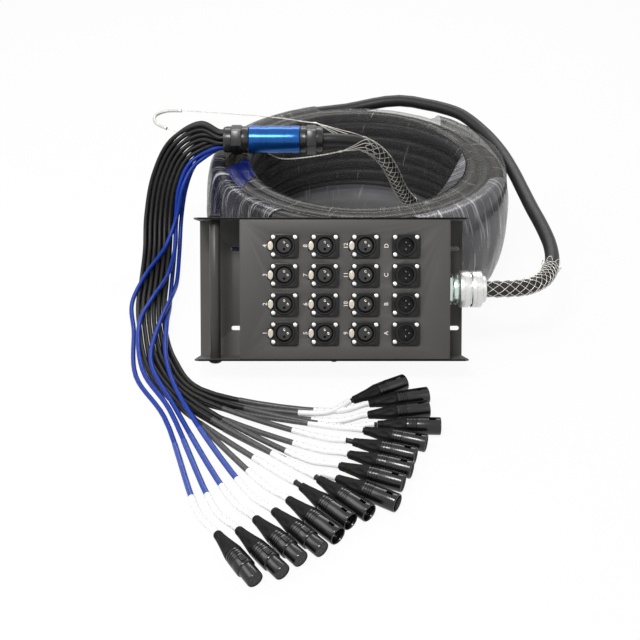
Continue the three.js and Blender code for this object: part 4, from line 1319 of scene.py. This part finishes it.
# %% [markdown]
# The female shell is narrower towards its front, and its release button sits in a
# pocket behind that. The dark contact face has three holes, and a key groove runs along
# the shell. The button is a separate piece, because it rides on the body that its joint
# moves.

# %% Female cable connector
female_shell = turned("female_shell", shell_black, 56, [
    (40.6, 8.8), (41.0, 9.3), (41.5, 9.4), (50.0, 9.4), (50.7, 9.1), (50.9, 8.3), (51.2, 8.0),
    (65.0, 8.0), (65.8, 7.7), (66, 7.3), (65.9, 7.1), (65.3, 7.0)])
cut_out(female_shell, block("pocket", shell_black, (-11, -2.85, 39.15), (-6.3, 2.85, 48.85)))
face = turned("contact_face", face_dark, 40, [(60, 6.95), (65.2, 6.95), (65.5, 6.7)])
for x, y in PIN_SPOTS:
    bpy.ops.mesh.primitive_cylinder_add(vertices=20, radius=1.45, depth=8, location=(x, y, 65))
    cut_out(face, named("contact_cutter", face_dark))
cut_out(female_shell, block("key_groove", shell_black, (-8.6, -0.7, 58), (-7.6, 0.7, 67)))
female_socket = smooth_faces(joined("female_socket", [*boot_parts(), female_shell, face]), 38)
print("female socket faces:", len(female_socket.data.polygons))

release = block("release", shell_black, (-10.3, -2.5, 39.5), (-8.2, 2.5, 48.5))
soften(release, 0.6, 3)
for z in (42, 44, 46):
    cut_out(release, block("release_groove", shell_black, (-11, -1.8, z - 0.3), (-10.05, 1.8, z + 0.3)))
smooth_faces(release, 40)

# %% [markdown]
# Each connector lies on the floor at the end of its tail. Behind it the tail wears a
# white label sleeve with a row of tiny marks, and behind that a clear sleeve, which
# greys the black jacket and pales the blue one.

# %% Connectors and sleeves on the tails
LABEL_LENGTH, CLEAR_LENGTH = 60, 82
LABEL_RADIUS, CLEAR_RADIUS, DOT_RADIUS = 3.4, 3.08, 0.42
SLEEVE_SPACING = 4
LABEL_GAPS = [4, 1, 1, 3, 1, 7, 1, 1, 1, 4, 8, 1, 1, 1, 1, 1]
label_white = finish("label_white", (0.94, 0.94, 0.935), 0.4, vary=0.04, wide=120, lift=0.05)
label_ink = finish("label_ink", (0.12, 0.12, 0.13), 0.6)
for tail, (x, y, degrees) in enumerate(TAIL_ENDS):
    heading = Matrix.Rotation(math.radians(degrees), 4, "Z")
    place = WORLD @ Matrix.Translation((x, y, REST_HEIGHT)) @ heading @ ALONG
    number = f"{tail + 1:02d}"
    blue = tail >= BLACK_TAILS
    if blue:
        letter = "abcd"[tail - BLACK_TAILS]
        ends = [
            put(female_socket, f"socket_{letter}_female", place,
                "snake", f"socket_{letter}"),
            put(release, f"release_{letter}_button", place,
                f"release_{letter}_body", f"release_{letter}"),
        ]
    else:
        ends = [put(male_plug, f"plug_{number}_male", place,
                    "snake", f"plug_{number}")]
    route = [p / MM for p in tail_routes[tail]]
    label_end = length_of(route) - LABEL_GAPS[tail]
    label_start = label_end - LABEL_LENGTH
    label_run = evenly(stretch_of(route, label_start, label_end), SLEEVE_SPACING)
    clear_run = evenly(stretch_of(route, label_start - CLEAR_LENGTH, label_start + 1), SLEEVE_SPACING)
    label = wires(f"tail_{number}_label", [label_run], LABEL_RADIUS, label_white, 3)
    clear = wires("clear_sleeve", [clear_run], CLEAR_RADIUS, sleeved_blue if blue else sleeved_black, 3)
    dots = []
    for point, _, up in frames_along(label_run)[1:-1:2]:
        upward = up if up.z > 0 else -up
        spot = point + upward * 3.1
        dots.append([spot, spot + upward * 0.36])
    inked = wires("label_dots", dots, DOT_RADIUS, label_ink, 0)
    dressed = smooth_faces(joined(f"tail_{number}_sleeves", [label, clear, inked]), 50)
    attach(dressed, "snake")
print("tails with their ends:", len(TAIL_ENDS))
for source in (male_plug, female_socket, release):
    bpy.data.objects.remove(source)

# %% [markdown]
# ## Stretch film
# The coil is held by stretch film wound round its section. The film pulls tight over
# the top, bulges at the sides, bridges the hole in straight runs, and is creased in
# fine white streaks, always across the cables. Each wrap is a grid laid on a section
# that goes round the coil's centre, pushed about by a noise, with a thin wall. The
# noise depends on angle and height alone, so that wraps that overlap move together.
# The top's section has a hump over each turn. Over the outer layers the film stays open
# at the back, where the trunk leaves.

# %% Film
INNER_WALL = [
    (137.4, 4, 0), (138.6, 30, 0), (138.5, 60, 0), (138.5, 100, 0), (139.0, 122, 0), (142, 129.8, 0),
]
TOP = [
    (142, 129.8, 0), (148.4, 132.8, 0), (153, 132.6, 0), (157.2, 131.4, 0), (161.4, 132.6, 0),
    (166, 132.9, 0), (170.6, 132.6, 0), (174.8, 131.4, 0), (179, 132.4, 0), (183.6, 132.4, 0),
    (188.6, 130.6, 0.05), (192.2, 124, 0.15),
]
OUTER_WALL = [(192.2, 124, 0.15), (192.5, 112, 0.5), (192.6, 95, 0.8), (192.6, 75, 1), (192.6, 55, 1),
              (192.6, 35, 0.85), (192.6, 18, 0.6), (192.6, 6, 0.3), (192.5, 1, 0.1)]
HOLE = [(58, 1.2, 0), (84, 1.6, 0), (104, 2.6, 0), (120, 6, 0), (130, 14, 0), (135, 26, 0)]
SIDE = TOP[7:] + OUTER_WALL[1:]
FILM_THICK, FLAP_THICK = 0.00012, 0.0003
LEFT_BULGE, RIGHT_BULGE = 200, 318


def bulge_at(angle):
    """How far the film stands off the cables, in millimetres, at an angle in degrees."""
    left, right = angle - LEFT_BULGE, angle - RIGHT_BULGE
    left = max(0.0, math.cos(math.radians(left) * 1.1)) if abs(left) < 80 else 0.0
    right = max(0.0, math.cos(math.radians(right) * 2.2)) if abs(right) < 40 else 0.0
    return 2.1 + 7.6 * left + 8.6 * right


def film_wrap(name, material, start, end, section, steps, slant=0.0, off=0.0):
    """A wrap from one angle to another. The section's points are radius, height, swell."""
    section = smooth_route(section, 3)
    rows = len(section)
    bpy.ops.mesh.primitive_grid_add(x_subdivisions=steps, y_subdivisions=rows - 1, size=1)
    wrap = named(name, material)
    for i, spot in enumerate(wrap.data.vertices):
        at, step = divmod(i, steps + 1)
        radius, height, swell = section[at]
        share = at / (rows - 1)
        angle = math.radians(start + (end - start) * step / steps + slant * (share - 0.5))
        ripple = noise.noise(Vector((math.cos(angle) * 9, math.sin(angle) * 9, height / 50)))
        crease = noise.noise(Vector((math.cos(angle) * 20, math.sin(angle) * 20, height / 90)))
        radius += off + swell * bulge_at(math.degrees(angle) % 360)
        radius += ripple * (0.4 + 1.6 * swell) + crease * (0.15 + 0.7 * swell)
        height += off * (1 if 120 < height < 134 else 0) + (0.5 * ripple if height > 120 else 0)
        spot.co = coil_point(angle, radius, height)
    wrap.data.transform(WORLD)
    edit(wrap)
    bpy.ops.mesh.select_all(action="SELECT")
    bpy.ops.mesh.normals_make_consistent(inside=False)
    leave()
    use(wrap, "SOLIDIFY", thickness=FILM_THICK, offset=1)
    return smooth_faces(wrap, 30)


# %% [markdown]
# The film's finish works in the coil's own directions. A noise stretched along the
# radius and the height, and narrow round the coil, draws the creases. They are white
# and nearly opaque, and between them the tinted film lets some of the cable through.
# Over the top a band for each turn paints shade into the grooves between turns, and makes the outer
# turn darker.

# %% Film finish
OUTER_TURN = (0.172, 0.178)


def mix_node(tree, factor, first, second):
    """A colour mix. The first colour may be another node's output."""
    node = tree.nodes.new("ShaderNodeMix")
    node.data_type = "RGBA"
    node.inputs["B"].default_value = (*second, 1)
    if isinstance(first, tuple):
        node.inputs["A"].default_value = (*first, 1)
    else:
        tree.links.new(first, node.inputs["A"])
    tree.links.new(factor, node.inputs["Factor"])
    return node.outputs["Result"]


def turn_groove_shade(tree, reach, base):
    """Painted shade on the film's tint over each turn: dark in the grooves, and darker on the outer
    turn.
    """
    per_metre = math.tau / (COIL_PITCH * MM)
    at_start = -math.tau * (COIL_INNER + TRUNK_RADIUS) / COIL_PITCH
    wave = math_node(tree, "COSINE", math_node(tree, "MULTIPLY_ADD", reach, per_metre, at_start))
    # Painted shade: the grooves between turns go dark, and the crowns keep the tint.
    groove = range_node(tree, wave, 0.0, 1.0, -0.9, 0.3)
    outer = range_node(tree, reach, 1.0, 0.45, *OUTER_TURN)
    light = math_node(tree, "MULTIPLY", groove, outer)
    return mix_node(tree, light, tuple(c * 0.15 for c in base), base)


def crease_mask(tree, place, scale, detail, sparse):
    """A stretched noise, and where it is strong enough to be a crease."""
    stretch = tree.nodes.new("ShaderNodeMapping")
    stretch.inputs["Scale"].default_value = scale
    tree.links.new(place, stretch.inputs["Vector"])
    streaks = tree.nodes.new("ShaderNodeTexNoise")
    streaks.inputs["Scale"].default_value = 1.0
    streaks.inputs["Detail"].default_value = detail
    streaks.inputs["Roughness"].default_value = 0.6
    tree.links.new(stretch.outputs["Vector"], streaks.inputs["Vector"])
    pattern = streaks.outputs["Fac"]
    return pattern, range_node(tree, pattern, 0.0, 1.0, sparse, sparse + 0.2)


def film_finish(name, base, streak, clear, width, sparse=0.6, bumps=0.4, rough=0.22, groove_shaded=False):
    """Creased film: tinted between the streaks, and white and nearly opaque in them."""
    material = bpy.data.materials.new(name)
    material.use_nodes = True
    tree = material.node_tree
    nodes, links = tree.nodes, tree.links
    shader = nodes["Principled BSDF"]
    shader.inputs["Roughness"].default_value = rough
    place = nodes.new("ShaderNodeTexCoord")
    centre = nodes.new("ShaderNodeMapping")
    centre.inputs["Location"].default_value = (-COIL_CENTRE[0] * MM, -COIL_CENTRE[1] * MM, 0)
    split = nodes.new("ShaderNodeSeparateXYZ")
    length = nodes.new("ShaderNodeVectorMath")
    length.operation = "LENGTH"
    links.new(place.outputs["Object"], centre.inputs["Vector"])
    links.new(centre.outputs["Vector"], split.inputs[0])
    links.new(centre.outputs["Vector"], length.inputs[0])
    reach = length.outputs["Value"]
    turn = math_node(tree, "ARCTAN2", split.outputs["Y"], split.outputs["X"])
    flat = nodes.new("ShaderNodeCombineXYZ")
    links.new(math_node(tree, "MULTIPLY_ADD", reach, 2.2, turn), flat.inputs["X"])
    links.new(split.outputs["Z"], flat.inputs["Y"])
    links.new(reach, flat.inputs["Z"])
    broad, broad_mask = crease_mask(tree, flat.outputs[0], (width, 20, 20), 1.5, sparse)
    fine_mask = crease_mask(tree, flat.outputs[0], (width * 0.22, 9, 9), 3, sparse)[1]
    creased = math_node(tree, "MULTIPLY_ADD", fine_mask, 0.45, broad_mask, clamp=True)
    # The top film takes the painted shade of the turns.
    tint = turn_groove_shade(tree, reach, base) if groove_shaded else base
    links.new(mix_node(tree, creased, tint, streak), shader.inputs["Base Color"])
    links.new(range_node(tree, creased, clear, 0.95), shader.inputs["Alpha"])
    bump = nodes.new("ShaderNodeBump")
    bump.inputs["Strength"].default_value = bumps
    bump.inputs["Distance"].default_value = 0.001
    links.new(broad, bump.inputs["Height"])
    links.new(bump.outputs["Normal"], shader.inputs["Normal"])
    return material


# %% [markdown]
# Six films come from that helper: a brownish one over the top, a grey one inside, a dark
# and a milky one for the outside, one for the hole that hides most of the floor, and a
# blue one.

# %% Six films
film_brown = film_finish("film_brown", (0.05, 0.044, 0.03), (0.4, 0.38, 0.34), 0.34, 70, 0.62,
                         bumps=0.06, rough=0.3, groove_shaded=True)
film_inner = film_finish("film_inner", (0.08, 0.08, 0.083), (0.55, 0.55, 0.55), 0.22, 90, 0.66,
                         bumps=0.1, rough=0.35)
film_dark = film_finish("film_dark", (0.014, 0.014, 0.017), (0.5, 0.5, 0.54), 0.45, 80, 0.57, 0.25)
film_milky = film_finish("film_milky", (0.15, 0.15, 0.16), (0.55, 0.55, 0.57), 0.62, 50, 0.56, 0.2)
film_floor = film_finish("film_floor", (0.1, 0.1, 0.108), (0.4, 0.4, 0.42), 0.75, 30, 0.62, 0.1, 0.5)
film_blue = film_finish("film_blue", (0.006, 0.014, 0.13), (0.2, 0.25, 0.6), 0.7, 60, 0.68, 0.2)
print("finishes:", len(bpy.data.materials))

# %% [markdown]
# The close wraps are made first: inside, over the top, outside and across the hole. Two
# loose ones at the sides and a strip of blue film go over them. A flap spans a part of
# the hole's rim at the right, in a straight line from one side of that part to the other.

# %% Wraps and flap
FLAP_STEPS, FLAP_ROWS = 24, 3
FLAP_START, FLAP_SPAN = -52, 60
film_pieces = [
    film_wrap("film_inside", film_inner, 90, 450, INNER_WALL, 150),
    film_wrap("film_top", film_brown, 108, 410, TOP, 150),
    film_wrap("film_top_back", film_brown, 50, 108, TOP[:6], 30),
    film_wrap("film_outside", film_dark, 108, 410, OUTER_WALL, 260),
    film_wrap("film_hole", film_floor, 40, 150, HOLE, 60),
    film_wrap("film_left", film_dark, 158, 232, SIDE, 64, slant=-14, off=0.9),
    film_wrap("film_right", film_milky, 296, 345, SIDE, 44, slant=16, off=0.9),
    film_wrap("film_blue_wrap", film_blue, 196, 216, TOP + OUTER_WALL[1:], 18, slant=26, off=0.45),
]
bpy.ops.mesh.primitive_grid_add(x_subdivisions=FLAP_STEPS, y_subdivisions=FLAP_ROWS, size=1)
flap = named("film_flap", film_milky)
for i, spot in enumerate(flap.data.vertices):
    row, step = divmod(i, FLAP_STEPS + 1)
    angle = math.radians(FLAP_START + FLAP_SPAN * step / FLAP_STEPS)
    half = math.radians(FLAP_SPAN / 2)
    straight = 139 * math.cos(half) / math.cos(angle - math.radians(FLAP_START) - half)
    radius = COIL_INNER + (straight - COIL_INNER) * row / FLAP_ROWS
    height = 128.5 - (5 + 9 * math.sin(math.pi * step / FLAP_STEPS)) * row / FLAP_ROWS
    spot.co = coil_point(angle, radius, height)
flap.data.transform(WORLD)
film_pieces.append(smooth_faces(use(flap, "SOLIDIFY", thickness=FLAP_THICK, offset=1), 40))
for piece in film_pieces:
    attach(piece, "snake")
print("film pieces:", len(film_pieces))

# %% Sizes
low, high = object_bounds()
print("dressed box", [round(v, 3) for v in (*low, *high)])
